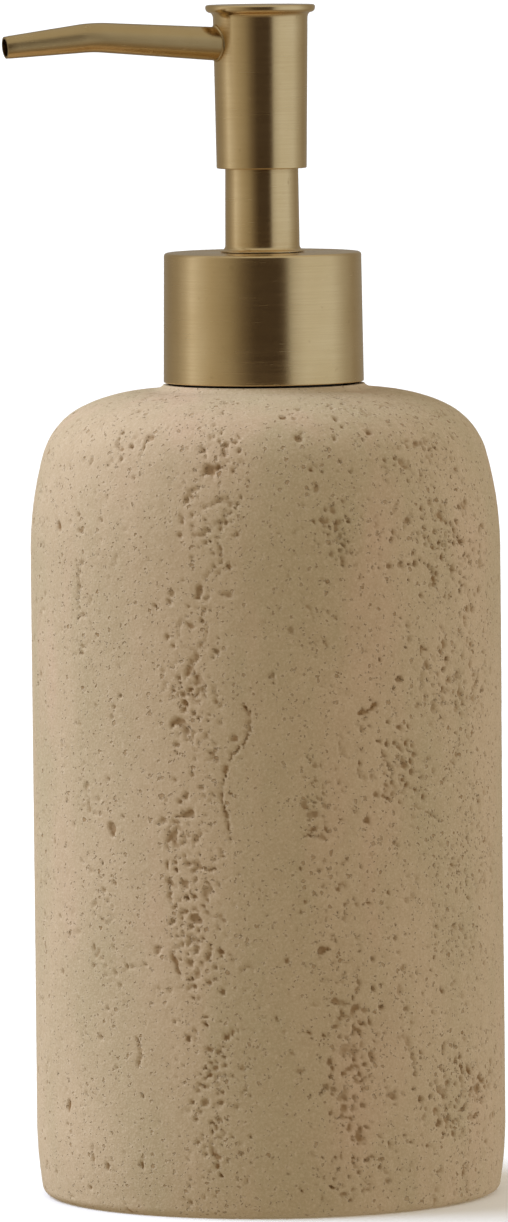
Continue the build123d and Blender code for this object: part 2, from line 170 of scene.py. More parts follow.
def turned_solid(name, outline, around=192):
    """A turned piece without a bore. The outline runs from its bottom face up the outside to its top face."""
    quads = grid_quads(len(outline), around, closed=False)
    ends = [np.arange(around)[::-1], np.arange(around) + (len(outline) - 1) * around]
    return mesh_object(name, turned(outline, around), [*quads[:, ::-1], *ends])


def settle(piece, body, nodes, material):
    """A new piece's material, its body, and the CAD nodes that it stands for."""
    piece.data.materials.append(material)
    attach(piece, body)
    if nodes:
        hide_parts(*nodes)
    return piece


# --- node materials
class Nodes:
    """A node tree, and short ways to add and join its nodes. Colours are in linear light."""

    def __init__(self, tree):
        self.tree = tree

    def put(self, target, value):
        """Joins a socket to an input, or sets its value."""
        if isinstance(value, bpy.types.NodeSocket):
            self.tree.links.new(value, target)
        else:
            target.default_value = (*value, 1.0) if target.type == "RGBA" else value

    def add(self, kind, inputs=(), **settings):
        """A node. inputs maps names or positions to values or sockets."""
        node = self.tree.nodes.new("ShaderNode" + kind)
        for key, value in settings.items():
            setattr(node, key, value)
        for key, value in dict(inputs).items():
            self.put(node.inputs[key], value)
        return node

    def place(self):
        """The point on the piece, in its own coordinates."""
        return self.add("TexCoord").outputs["Object"]

    def vector(self, operation, first, second):
        """One sum with vectors."""
        return self.add("VectorMath", {0: first, 1: second}, operation=operation)

    def stretched(self, scale):
        """The point, scaled along each axis."""
        return self.vector("MULTIPLY", self.place(), scale).outputs[0]

    def noise(self, vector, scale, detail=2.0, roughness=0.5):
        """Smooth noise from 0 to 1."""
        inputs = {"Vector": vector, "Scale": scale, "Detail": detail, "Roughness": roughness}
        return self.add("TexNoise", inputs).outputs["Fac"]

    def math(self, operation, *values, clamp=False):
        """One sum."""
        return self.add("Math", dict(enumerate(values)), operation=operation, use_clamp=clamp).outputs[0]

    def span(self, value, low_in, high_in, low_out=0.0, high_out=1.0, smooth=False):
        """Maps one range of values onto another, and stops at its ends."""
        inputs = {"Value": value, 1: low_in, 2: high_in, 3: low_out, 4: high_out}
        kind = "SMOOTHSTEP" if smooth else "LINEAR"
        return self.add("MapRange", inputs, interpolation_type=kind, clamp=True).outputs[0]

    def mix(self, factor, first, second):
        """Two colours mixed."""
        return self.add("Mix", {0: factor, 6: first, 7: second}, data_type="RGBA").outputs[2]

    def cells(self, vector, scale):
        """The nearest of scattered points: its distance and a random colour of its own."""
        inputs = {"Vector": vector, "Scale": scale, "Randomness": 1.0}
        return self.add("TexVoronoi", inputs, feature="F1").outputs

    def bump(self, height, distance, strength=1.0):
        """A normal from a height, distance being the depth in metres of a height of 1."""
        return self.add("Bump", {"Height": height, "Distance": distance, "Strength": strength}).outputs[0]


class Shader(Nodes):
    """A material and its nodes."""

    def __init__(self, name):
        self.material = bpy.data.materials.new(name)
        self.material.use_nodes = True
        super().__init__(self.material.node_tree)

    def finish(self, **values):
        """Sets the surface shader's inputs, named with underscores, and returns the material."""
        surface = self.tree.nodes["Principled BSDF"]
        for key, value in values.items():
            self.put(surface.inputs[key.replace("_", " ")], value)
        return self.material


BRASS_ROUGHNESS = 0.22
BRASS_SPREAD = 0.075  # how much the roughness changes from line to line
BRUSH_DEPTH = 0.000019


def brass(name, drawn=False):
    """Satin brass with fine brush lines: around the axis, or along X for the drawn spout, whose colours are a
    darker, shaded copy of the same brass: painted shade.
    """
    s = Shader(name)
    place = s.place()
    if drawn:
        lines = s.noise(s.stretched((90.0, 5200.0, 5200.0)), 1.0, 3.0, 0.6)
        broad = s.noise(s.stretched((40.0, 900.0, 900.0)), 1.0)
        # The drawn brass is painted darker than the turned brass: painted shade.
        light, deep = (0.565, 0.412, 0.205), (0.525, 0.375, 0.178)
    else:
        x, y, z = s.add("SeparateXYZ", {0: place}).outputs
        radius = s.math("SQRT", s.math("ADD", s.math("POWER", x, 2.0), s.math("POWER", y, 2.0)))
        level = s.math("MULTIPLY", s.math("ADD", z, radius), 60.0)
        ring = s.add("CombineXYZ", {0: x, 1: y, 2: level}).outputs[0]
        lines = s.noise(ring, 95.0, 3.0, 0.62)
        broad = s.noise(ring, 17.0)
        light, deep = (0.775, 0.585, 0.32), (0.735, 0.545, 0.285)
    patches = s.noise(place, 160.0, 3.0)
    tarnish = s.noise(place, 900.0)
    base = s.mix(s.span(patches, 0.35, 0.7), deep, light)
    base = s.mix(s.span(lines, 0.35, 0.75, 0.0, 0.24), base, (0.58, 0.41, 0.20))
    base = s.mix(s.span(tarnish, 0.68, 0.80, 0.0, 0.30), base, (0.42, 0.28, 0.12))
    rough = s.span(lines, 0.2, 0.8, BRASS_ROUGHNESS - BRASS_SPREAD, BRASS_ROUGHNESS + BRASS_SPREAD)
    rough = s.math("ADD", rough, s.span(broad, 0.3, 0.7, -0.02, 0.02))
    height = s.math("ADD", s.math("MULTIPLY", lines, 0.7), s.math("MULTIPLY", broad, 0.5))
    return s.finish(
        Base_Color=base,
        Metallic=1.0,
        Roughness=rough,
        Anisotropic=0.7,
        Anisotropic_Rotation=0.0 if drawn else 0.25,
        Tangent=s.add("Tangent", direction_type="RADIAL", axis="X" if drawn else "Z").outputs[0],
        Normal=s.bump(height, BRUSH_DEPTH),
    )


STRAY = 0.0009  # how far the grain's pores stray from round, in metres
GRAIN_DEPTH = 0.00019


def stone():
    """Matt beige stone: patches, speckles, brown pits and pores (stain and painted shade), pale pore rims
    (painted highlight).
    """
    s = Shader("stone")
    place = s.place()
    tall = s.stretched((1.0, 1.0, 0.35))
    pit = s.add("Attribute", attribute_name="pit").outputs["Fac"]
    patches = s.noise(tall, 60.0, 3.0, 0.55)
    blush = s.noise(tall, 85.0)
    mottle = s.noise(place, 420.0, 4.0, 0.6)
    grain_and_highlight = s.noise(place, 2600.0, 3.0, 0.65)
    base = s.mix(s.span(patches, 0.40, 0.62), (0.425, 0.340, 0.215), (0.49, 0.375, 0.250))
    base = s.mix(s.span(blush, 0.54, 0.72, 0.0, 0.55), base, (0.53, 0.370, 0.262))
    base = s.mix(s.span(mottle, 0.35, 0.70, 0.0, 0.35), base, (0.40, 0.295, 0.185))
    # The raised grain is painted lighter: the stone's own grain, and a painted highlight on its bumps.
    base = s.mix(s.span(grain_and_highlight, 0.48, 0.72, 0.0, 0.42), base, (0.62, 0.50, 0.365))
    base = s.mix(s.span(grain_and_highlight, 0.30, 0.45, 0.25, 0.0), base, (0.34, 0.245, 0.145))
    band = s.add("Attribute", attribute_name="band").outputs["Fac"]
    wander = s.add("TexNoise", {"Vector": place, "Scale": 1700.0, "Detail": 1.0}).outputs["Color"]
    wander = s.vector("MULTIPLY", wander, (STRAY, STRAY, STRAY)).outputs[0]
    bent = s.vector("ADD", place, wander).outputs[0]
    large, large_rim_highlights = speckles(s, bent, 700.0, s.span(band, 0.0, 1.0, 0.70, 0.15))
    fine, fine_rim_highlights = speckles(s, bent, 1500.0, s.span(band, 0.0, 1.0, 0.55, 0.12))
    spots = s.math("MAXIMUM", large, fine)
    rim_highlights = s.math("MAXIMUM", large_rim_highlights, fine_rim_highlights)
    # Pale rims painted around the pores: painted highlight on their edges.
    base = s.mix(s.math("MULTIPLY", rim_highlights, 0.30), base, (0.64, 0.52, 0.38))
    # How strongly the pores and pits are painted brown: the stone's stain and painted shade alike.
    stain_and_shade = s.span(s.noise(place, 330.0), 0.38, 0.62, 0.35, 0.95)
    warmth = s.span(s.noise(place, 210.0), 0.35, 0.65)
    brown = s.mix(warmth, (0.31, 0.200, 0.105), (0.27, 0.158, 0.068))
    stained_and_shaded = s.math("MULTIPLY", s.span(stain_and_shade, 0.35, 0.95, 0.6, 1.0), s.span(band, 0.0, 1.0, 0.60, 0.90))
    # Pores and pits are painted brown, deeper pits browner: stain, and painted shade in the hollows.
    base = s.mix(s.math("MULTIPLY", spots, stained_and_shaded), base, brown)
    base = s.mix(s.math("MULTIPLY", s.span(pit, 0.05, 0.60, smooth=True), stain_and_shade), base, brown)
    height = s.math("SUBTRACT", s.math("MULTIPLY", grain_and_highlight, 0.5), spots)
    height = s.math("ADD", height, s.math("MULTIPLY", mottle, 0.6))
    rough = s.span(mottle, 0.3, 0.7, 0.86, 0.97)
    normal = s.bump(height, GRAIN_DEPTH, 0.9)
    return s.finish(Base_Color=base, Roughness=rough, Specular_IOR_Level=0.25, Normal=normal)


def speckles(s, place, scale, bare):
    """Fine round pores, painted brown as stain and shade, and pale rims around them, a painted highlight.
    bare is the share of cells that have none.
    """
    cells = s.cells(place, scale)
    pick = s.add("SeparateColor", {0: cells["Color"]}).outputs[0]
    away = s.math("SUBTRACT", cells["Distance"], s.span(pick, bare, 1.0, 0.10, 0.27))
    inside = s.span(away, -0.07, 0.06, 1.0, 0.0)
    around = s.span(away, 0.04, 0.20, 1.0, 0.0)
    there = s.math("GREATER_THAN", pick, bare)
    inside = s.math("MULTIPLY", inside, there)
    return inside, s.math("SUBTRACT", s.math("MULTIPLY", around, there), inside, clamp=True)


SCUFF_DEPTH = 0.00001
DRAW_MARK_DEPTH = 0.000004
FOAM_CELL_DEPTH = 0.00008


def plastic(name, base, dark, roughness, clear=0.0):
    """Moulded plastic: faint flow marks and fine scuffs. clear is how much light passes."""
    s = Shader(name)
    flow = s.noise(s.stretched((1.0, 1.0, 0.3)), 120.0)
    scuffs = s.noise(s.place(), 700.0, 4.0, 0.65)
    shade = s.mix(s.span(flow, 0.35, 0.7), base, dark)
    rough = s.span(scuffs, 0.3, 0.7, roughness - 0.07, roughness + 0.10)
    normal = s.bump(scuffs, SCUFF_DEPTH, 0.5)
    return s.finish(Base_Color=shade, Roughness=rough, Normal=normal, Transmission_Weight=clear)


def steel(name):
    """Bright drawn steel with faint draw marks."""
    s = Shader(name)
    marks = s.noise(s.place(), 2500.0, 3.0)
    shade = s.mix(s.span(marks, 0.3, 0.7), (0.50, 0.50, 0.50), (0.64, 0.64, 0.63))
    rough = s.span(marks, 0.3, 0.7, 0.14, 0.26)
    normal = s.bump(marks, DRAW_MARK_DEPTH, 0.6)
    return s.finish(Base_Color=shade, Metallic=1.0, Roughness=rough, Normal=normal)


def foam(name, base, dark, cell):
    """Closed-cell foam: small open cells, painted dark as painted shade, over a soft skin."""
    s = Shader(name)
    skin = s.noise(s.place(), 500.0, 3.0)
    holes = s.span(s.cells(s.place(), cell)["Distance"], 0.05, 0.45)
    # The cells' hollows are painted dark: painted shade.
    shade = s.mix(holes, dark, base)
    shade = s.mix(s.span(skin, 0.3, 0.7, 0.0, 0.3), shade, dark)
    return s.finish(Base_Color=shade, Roughness=0.93, Normal=s.bump(holes, FOAM_CELL_DEPTH, 0.6))


# --- stone bottle
BODY_RADIUS = high("stone_body")[0]
STONE_FOOT = low("stone_body")[2]
LAND_TOP = high("stone_body")[2]
PAD_RADIUS = high("base_pad")[0]
PAD_TOP = high("base_pad")[2]
PAD_EDGE = 0.45
SHOULDER_START = 103.3
SHOULDER_ARCS = ((57.3, 15.7), (12.1, 65.4), (26.9, 90.0))
LAND_RADIUS = 16.2
LAND_EDGE = 0.2
LAND_RISE = 0.3  # how much closer to the collar the land's worn top comes
FOOT_ARC = 67.0
FOOT_ARC_HEIGHT = 12.0
FOOT_EDGE = 1.5
CHAMBER_RADIUS = 31.0
CHAMBER_FLOOR = 7.5
CHAMBER_CORNER = 6.0
CHAMBER_SHOULDER = 101.0
CHAMBER_DISC = 8.0  # radius of the floor's innermost disc
MOUTH_RADIUS = 13.25
SEAT_RADIUS = 14.4
SEAT_DEPTH = 1.0
RECESS_RADIUS = PAD_RADIUS + 0.2
STONE_STEP = 0.31  # spacing of the stone's mesh
STONE_AROUND = 768
INSIDE_AROUND = 96
SKIN_SINK = 0.07  # how far the stone's skin lies inside its nominal outline
SINK_LIMITS = (0.02, 0.3)  # the least and the most of it
WAVE_DEPTH = 0.03
PORE_DEPTH = 0.008
FADE_FOOT = 1.5  # height above the foot over which the pits set in
FADE_TOP = 1.2  # distance from the land over which they end
STAIN_AND_SHADE_DEPTH = 0.75  # depth of a pit that is fully brown, as stain and painted shade


def stone_outside():
    """The bottle's outer outline from the edge of the pad's recess to the top of the shoulder."""
    edge_height = STONE_FOOT + FOOT_EDGE
    centre_x = BODY_RADIUS - FOOT_ARC
    reach = FOOT_ARC - FOOT_EDGE
    edge_x = centre_x + math.sqrt(reach**2 - (FOOT_ARC_HEIGHT - edge_height) ** 2)
    lean = math.degrees(math.atan2(edge_height - FOOT_ARC_HEIGHT, edge_x - centre_x))
    points = [(RECESS_RADIUS, STONE_FOOT)]
    points += arc((edge_x, edge_height), FOOT_EDGE, -90, lean, 12)
    points += arc((centre_x, FOOT_ARC_HEIGHT), FOOT_ARC, lean, 0, 20)
    x, z, angle = BODY_RADIUS, SHOULDER_START, 0.0
    for radius, end in SHOULDER_ARCS:
        turn = math.radians(angle)
        centre = (x - radius * math.cos(turn), z - radius * math.sin(turn))
        points += arc(centre, radius, angle, end, 24)
        x, z = points[-1]
        angle = end
    return np.array(points)


def stone_land(root, shoulder_top):
    """The raised ring of stone under the collar: a soft ramp from its root, then flat up to the seat."""
    top = LAND_TOP + LAND_RISE
    edge = (LAND_RADIUS - LAND_EDGE, top - LAND_EDGE)
    share = np.linspace(0, 1, 9)[1:]
    heights = shoulder_top + (edge[1] - shoulder_top) * share**1.5
    points = list(zip(root + (LAND_RADIUS - root) * share, heights))
    points += arc(edge, LAND_EDGE, 15, 90, 5)
    points += [(SEAT_RADIUS + 0.15, top), (SEAT_RADIUS, top - 0.15)]
    return np.array(points)


def even_steps(points, step):
    """The same outline with evenly spaced points, and the distance along it of each."""
    lengths = np.concatenate([[0], np.cumsum(np.hypot(*np.diff(points, axis=0).T))])
    at = np.linspace(0, lengths[-1], int(round(lengths[-1] / step)) + 1)
    return np.stack([np.interp(at, lengths, values) for values in points.T], axis=1), at


def stone_inside(shoulder_top):
    """The outline from the mouth's seat down through the chamber to its floor."""
    vault = CHAMBER_RADIUS - MOUTH_RADIUS
    seat = shoulder_top - SEAT_DEPTH
    points = [(SEAT_RADIUS, seat), (MOUTH_RADIUS, seat)]
    points += arc((MOUTH_RADIUS, CHAMBER_SHOULDER), vault, 90, 0, 16)
    points += [(CHAMBER_RADIUS, CHAMBER_SHOULDER - 30.0), (CHAMBER_RADIUS, CHAMBER_FLOOR + 25.0)]
    corner = (CHAMBER_RADIUS - CHAMBER_CORNER, CHAMBER_FLOOR + CHAMBER_CORNER)
    points += arc(corner, CHAMBER_CORNER, 0, -90, 10)
    points.append((CHAMBER_DISC, CHAMBER_FLOOR))
    return points


class StoneSkin:
    """The depth of the pits over the bottle, on a grid of height along the outline by angle."""

    def __init__(self, outline, lengths):
        self.outline = outline
        self.lengths = lengths
        self.rng = np.random.default_rng(SEED)
        self.step_up = lengths[1] - lengths[0]
        self.step_around = 2 * math.pi * BODY_RADIUS / STONE_AROUND
        self.shape = (len(lengths), STONE_AROUND)
        self.depth = np.zeros(self.shape)
        self.ragged = 0.75 * self.random_field(1.0, 0.9) + 0.6 * self.random_field(0.5, 0.45)

    def random_field(self, up, across):
        """Smooth random values of unit spread, periodic both ways. up and across are their size in mm."""
        white = self.rng.standard_normal(self.shape)
        waves_up = np.fft.fftfreq(self.shape[0], self.step_up)[:, None] * up
        waves_across = np.fft.rfftfreq(self.shape[1], self.step_around)[None, :] * across
        keep = np.exp(-2 * (math.pi**2) * (waves_up**2 + waves_across**2) / 4)
        field = np.fft.irfft2(np.fft.rfft2(white) * keep, s=self.shape)
        return field / field.std()

    def along(self, height):
        """The distance along the outline of a height above the table."""
        return float(np.interp(height, self.outline[:, 1], self.lengths))

    def pit(self, angle, along, wide, tall, tilt, depth, edge=0.65):
        """One ragged pit. angle is in degrees from the front, the sizes are half axes in mm."""
        reach = max(wide, tall) * 1.5
        row = along / self.step_up
        column = (angle + FRONT) / 360.0 * STONE_AROUND
        rows = np.arange(int(row - reach / self.step_up) - 1, int(row + reach / self.step_up) + 2)
        rows = rows[(rows >= 0) & (rows < self.shape[0])]
        if len(rows) == 0:
            return
        radius = self.outline[rows, 0]
        shrink = radius.min() / BODY_RADIUS
        half = int(reach / (self.step_around * max(shrink, 0.3))) + 1
        columns = np.arange(int(column) - half, int(column) + half + 2)
        up = (rows * self.step_up - along)[:, None]
        across = (columns - column)[None, :] * self.step_around * (radius / BODY_RADIUS)[:, None]
        turn = math.radians(tilt)
        u = (across * math.cos(turn) + up * math.sin(turn)) / wide
        v = (up * math.cos(turn) - across * math.sin(turn)) / tall
        columns = columns % STONE_AROUND
        block = np.ix_(rows, columns)
        far = np.sqrt(u**2 + v**2) * (1 + 0.28 * self.ragged[block])
        level = np.clip((1 - far) / edge, 0, 1)
        self.depth[block] = np.maximum(self.depth[block], depth * level * level * (3 - 2 * level))

    def worm(self, angle, along, length, heading, width, depth, wander=35.0):
        """A short wandering groove of overlapping pits. heading is in degrees from upwards."""
        steps = max(2, int(length / (width * 0.8)))
        for _ in range(steps):
            size = width * self.rng.uniform(0.65, 1.25)
            tall = size * self.rng.uniform(1.0, 1.6)
            self.pit(angle, along, size, tall, -heading, depth * self.rng.uniform(0.6, 1.1))
            heading += self.rng.normal(0, wander)
            stride = width * 0.95
            along += stride * math.cos(math.radians(heading))
            angle += math.degrees(stride * math.sin(math.radians(heading)) / BODY_RADIUS)

    def ring(self, angle, along, radius, width, depth):
        """A broken ring of small pits around a sound patch."""
        start = self.rng.uniform(0, 360)
        for turn in np.arange(0, self.rng.uniform(150, 330), math.degrees(width * 1.25 / radius)):
            if self.rng.random() < 0.2:
                continue
            bearing = math.radians(start + turn)
            size = width * self.rng.uniform(0.6, 1.2)
            self.pit(
                angle + math.degrees(radius * math.cos(bearing) / BODY_RADIUS),
                along + radius * 1.2 * math.sin(bearing),
                size,
                size * 1.15,
                self.rng.uniform(-60, 60),
                depth * self.rng.uniform(0.5, 1.1),
            )

    def path(self, points, width, depth, loose=0.45):
        """A groove along given points, each (angle from the front, height).

        loose is how far its pits stray, as a share of its width."""
        spots = [(angle, self.along(height)) for angle, height in points]
        rng = self.rng
        for (angle_a, along_a), (angle_b, along_b) in zip(spots, spots[1:]):
            across = math.radians(angle_b - angle_a) * BODY_RADIUS
            length = math.hypot(across, along_b - along_a)
            lean = math.degrees(math.atan2(along_b - along_a, across))
            count = max(1, int(length / (width * (0.65 + 0.9 * loose))))
            for i in range(count + 1):
                part = i / count
                size = width * rng.uniform(0.55, 1.2)
                aside = rng.normal(0, loose, 2) * width
                self.pit(
                    angle_a + (angle_b - angle_a) * part + math.degrees(aside[0] / BODY_RADIUS),
                    along_a + (along_b - along_a) * part + aside[1],
                    size * rng.uniform(1.0, 1.7),
                    size,
                    lean + rng.normal(0, 30),
                    depth * rng.uniform(0.5, 1.15),
                )


# Vertical bands in the stone, as (degrees from the front, half width, pits per 10 mm, size of the pits).
BANDS = (
    (-15, 6.5, 16, 0.75),
    (16, 6.5, 13, 0.70),
    (32, 6, 14, 0.68),
    (55, 13, 42, 0.70),
    (-46, 10, 8, 0.7),
    (98, 6.5, 40, 0.85),
    (133, 12, 34, 0.75),
    (171, 6, 42, 0.9),
    (-150, 13, 34, 0.72),
    (-112, 6, 40, 0.85),
    (-78, 9, 8, 0.8),
)


def crowding(skin):
    """How thickly the bands are pitted, from 0 to 1, on the skin's grid."""
    angles = np.arange(STONE_AROUND) * 360.0 / STONE_AROUND - FRONT
    along = skin.lengths[:, None]
    map_of_bands = np.zeros(skin.shape)
    for i, (centre, half, rate, _) in enumerate(BANDS):
        middle = centre + 3.0 * np.sin(along / 17.0 + i)
        away = (angles[None, :] - middle + 180.0) % 360.0 - 180.0
        swell = 0.75 + 0.25 * np.sin(along / 8.5 + 2.0 * i)
        weight = min(1.0, 0.25 + rate / 45.0) * swell * np.exp(-0.5 * (away / half) ** 2)
        map_of_bands = np.maximum(map_of_bands, weight)
    return map_of_bands


def scatter_bands(skin):
    """Pits, grooves and rings gathered in the bands, denser in some stretches than in others."""
    rng = skin.rng
    top = skin.lengths[-1]
    for centre, half, rate, size in BANDS:
        phase = rng.uniform(0, 2 * math.pi)
        for _ in range(int(rate * top / 10)):
            along = rng.uniform(4, top - 2)
            drift = 3.0 * math.sin(along / 17.0 + phase)
            crowd = 0.5 + 0.5 * math.sin(along / 7.5 + phase * 2) * math.sin(along / 19.0 + phase)
            if rng.random() > 0.35 + 0.65 * crowd:
                continue
            angle = centre + drift + rng.normal(0, half * 0.62)
            kind = rng.random()
            if kind < 0.86:
                wide = size * rng.uniform(0.26, 0.56) * rng.choice((0.8, 1.0, 1.5), p=(0.5, 0.4, 0.1))
                tall = wide * rng.uniform(0.8, 1.7)
                skin.pit(angle, along, wide, tall, rng.normal(0, 35), wide * rng.uniform(0.6, 1.2))
            elif kind < 0.97:
                width = size * rng.uniform(0.24, 0.36)
                skin.worm(angle, along, rng.uniform(1.5, 3.5), rng.normal(0, 60), width, width)
            else:
                skin.ring(angle, along, rng.uniform(1.2, 2.6), size * 0.3, 0.28)


FINE_PITS = 5200  # tried; about half are placed
WIDER_PITS = 190


def scatter_plain(skin):
    """Sparse small pits everywhere else, closer together in some patches than in others."""
    rng = skin.rng
    top = skin.lengths[-1]
    thick = skin.random_field(11.0, 7.0)
    for _ in range(FINE_PITS):
        wide = rng.uniform(0.16, 0.33)
        angle, along = rng.uniform(-180, 180), rng.uniform(2, top)
        row = int(along / skin.step_up) % skin.shape[0]
        column = int((angle + FRONT) / 360.0 * STONE_AROUND) % STONE_AROUND
        if rng.random() > 0.45 + 0.4 * thick[row, column]:
            continue
        skin.pit(angle, along, wide * rng.uniform(1.0, 1.7), wide, rng.normal(0, 40), rng.uniform(0.06, 0.26))
    for _ in range(WIDER_PITS):
        wide = rng.uniform(0.26, 0.48)
        spot = (rng.uniform(-180, 180), rng.uniform(2, top))
        skin.pit(*spot, wide, wide * rng.uniform(1.1, 2.1), rng.normal(0, 30), rng.uniform(0.3, 0.55))


# Crowds of small pits, as (degrees from the front, height, half width in degrees, half height, count, size).
CLUSTERS = (
    (-19.5, 45, 5, 10, 100, 0.42),
    (-17.5, 84, 4.5, 4.5, 24, 0.38),
    (-11.5, 66, 2.5, 7, 18, 0.30),
    (-21, 61, 4, 4, 20, 0.38),
    (-13.5, 21, 4.5, 8, 54, 0.38),
    (-13, 107, 5, 9, 44, 0.38),
    (-12, 121, 7, 3, 20, 0.36),
    (17, 107, 4, 4.5, 34, 0.44),
    (33, 70.5, 6, 5.5, 60, 0.42),
    (12, 66, 3.5, 5, 26, 0.36),
    (19.5, 24, 4.5, 12, 110, 0.42),
    (22, 8, 7, 3.5, 26, 0.40),
    (55, 18, 12, 6, 100, 0.42),
    (52, 103, 14, 9, 150, 0.40),
    (54, 82, 13, 6, 130, 0.36),
    (60, 58, 11, 9, 60, 0.32),
    (46, 42, 12, 7, 50, 0.32),
    (16, 48, 8, 6, 36, 0.32),
    (40, 120, 12, 4, 34, 0.36),
    (-38, 122, 6, 2.5, 14, 0.34),
)


def scatter_clusters(skin):
    """Curly crowds of pits, each a little stretched and turned."""
    rng = skin.rng
    for angle, height, half_angle, half_height, count, size in CLUSTERS:
        for _ in range(count):
            wide = size * rng.uniform(0.5, 1.15)
            aside, above = rng.normal(0, (half_angle * 0.65, half_height * 0.65))
            spot = (angle + aside, skin.along(height + above))
            tall = wide * rng.uniform(0.9, 2.1)
            skin.pit(*spot, wide, tall, rng.normal(0, 50), wide * rng.uniform(0.75, 1.4))


# Single pits, as (degrees from the front, height, half width and, where it differs, half height), in mm.
# The front's main band, from the shoulder down.
MAIN_PITS = (
    (-14, 118, 1.2, 1.0), (-8, 118, 0.45, 0.5), (-11, 110, 0.7, 0.5), (-20.5, 110, 0.4),
    (-18, 111, 0.4, 0.5), (-21, 108, 0.4), (-15, 108, 0.5, 0.4), (-18, 104.5, 0.4),
    (-12.5, 103, 0.5), (-9, 103, 0.5), (-16, 99, 0.8), (-14.5, 98, 0.5, 0.6),
    (-9, 98.5, 0.8, 0.45), (-15.5, 94.5, 0.5, 0.4), (-24, 97.5, 0.4),
    (-21.5, 85.5, 0.5, 0.6), (-22, 78.6, 0.9, 0.7), (-22, 75, 0.5, 0.45), (-22.3, 73.5, 0.4),
    (-14, 79.7, 0.45, 0.35), (-11, 78.6, 0.4, 0.35), (-7.5, 76, 0.35, 0.7), (-8.7, 73.5, 0.4, 0.6),
    (-19.4, 64, 1.2, 0.75), (-26, 63, 0.6, 0.45), (-23, 61, 0.55, 0.6), (-25, 59.7, 0.4),
    (-17.5, 60, 0.5, 0.4), (-16, 62.5, 0.35), (-25, 55.5, 0.35, 0.7), (-23, 56.3, 0.4),
    (-20.5, 53.2, 0.5), (-18.3, 51, 0.6, 0.5), (-16, 49.6, 0.5, 0.4), (-18, 47.5, 0.9, 0.8),
    (-15, 41.3, 0.6), (-14.8, 37.5, 0.5, 0.6), (-12.5, 26.4, 0.7, 0.5), (-14.5, 24.8, 0.6, 0.5),
    (-11, 24.4, 0.7, 0.5), (-11.6, 20.2, 0.5), (-12, 18.5, 0.5), (-15.8, 18.4, 0.5, 0.4),
    (-8.3, 17.9, 0.5, 0.4), (-5, 19.6, 0.4), (-18.3, 15.8, 0.5), (-16, 10.3, 0.5, 0.6),
    (-13.3, 8.4, 0.5), (-7, 10.6, 0.4),
)
# The band to the right of it.
SECOND_PITS = (
    (6, 126, 0.6, 0.5), (9, 122.8, 0.6), (11, 127, 0.4), (22.4, 124.4, 0.5),
    (19, 122.8, 0.4, 0.7), (14.6, 117.6, 0.4), (22, 117.6, 0.5), (12.7, 115, 0.3, 0.7),
    (19.3, 113, 0.45, 0.4), (20, 110.5, 0.4, 0.5), (18.6, 106.4, 0.5), (18.8, 103, 0.5, 0.6),
    (16, 104.8, 0.65, 0.6), (9.5, 73, 0.45, 0.4), (11.4, 71.5, 0.7, 0.35), (11.4, 69.3, 0.6, 0.4),
    (9.4, 65, 0.5, 0.4), (11.6, 64, 0.6, 0.45), (16.4, 64.7, 0.4), (17.6, 63, 0.4),
    (7.7, 55.4, 0.45, 0.5), (12, 55, 0.5, 0.45), (22.6, 55.3, 0.45, 0.4), (17, 52, 0.5),
    (20.8, 50.4, 0.5, 0.4), (8.7, 50.2, 0.45, 0.4), (7.6, 48.5, 0.4), (25, 49.6, 0.5, 0.4),
    (12.6, 42.5, 0.85, 0.8), (15.7, 34.3, 0.5), (21.8, 37.3, 0.5), (27.8, 36.6, 0.5, 0.4),
    (27.8, 33, 0.5), (34.8, 32.4, 0.5), (13, 29, 0.5), (18.5, 27.3, 0.75, 0.35),
    (24.8, 25.6, 0.7), (7.2, 23.2, 0.4), (13.4, 20.9, 0.7, 0.6), (20.4, 19, 0.6),
    (21.4, 12.7, 0.7, 0.6), (23.5, 9, 0.7, 0.6), (4, 7.2, 0.4), (20.5, 3.4, 0.5, 0.4),
    (24.5, 5, 0.5, 0.4),
)
# The finely pitted right side.
RIGHT_PITS = (
    (37, 109.6, 0.65, 0.6), (34.5, 103, 0.5), (31, 102.5, 0.5), (44.5, 101.2, 0.5),
    (51.5, 101.2, 0.5), (49.5, 87.3, 0.8, 0.6), (42, 86.8, 0.5), (33.6, 84.6, 0.7, 0.6),
    (60, 89, 0.5), (23, 79.6, 0.5), (26.6, 80.7, 0.5), (30.4, 78, 0.5),
    (33.8, 77, 0.5), (28.2, 75, 0.5), (32.3, 74.7, 0.5), (38.3, 67, 0.5),
    (29.8, 68, 0.45), (27, 66.6, 0.45), (46.7, 34.6, 0.5), (51, 25.8, 0.6),
    (48, 19.8, 0.5), (39, 17.9, 0.65, 0.6), (69, 22, 0.5, 0.6), (36, 11.3, 0.5),
    (45, 6, 0.5),
)
# Sparse pits on the smooth left side.
LEFT_PITS = (
    (-38, 82.3, 0.4, 0.7), (-40, 80.5, 0.35), (-40.7, 78.8, 0.3), (-41, 61, 0.7, 1.05),
    (-58, 65, 0.5), (-64.5, 58.3, 0.5, 0.75), (-42, 69, 0.35, 0.4), (-40.3, 52.4, 0.35, 0.7),
    (-44.3, 55.7, 0.4), (-44, 51.4, 0.4), (-40.6, 121, 0.5), (-40, 119.6, 0.45, 0.5),
    (-50.8, 119, 0.3, 0.8), (-60, 118, 0.4), (-52.6, 110.6, 0.5), (-52, 108, 0.35, 0.4),
    (-35, 116.7, 0.4), (-47.6, 42.2, 0.35, 0.95), (-61, 37.6, 0.5), (-43.2, 32.6, 0.35, 0.6),
    (-59, 16.6, 0.5, 1.0), (-51.4, 18.7, 0.35), (-59.6, 13.3, 0.4), (-44, 7.6, 0.55),
    (-51, 3.7, 0.4),
)
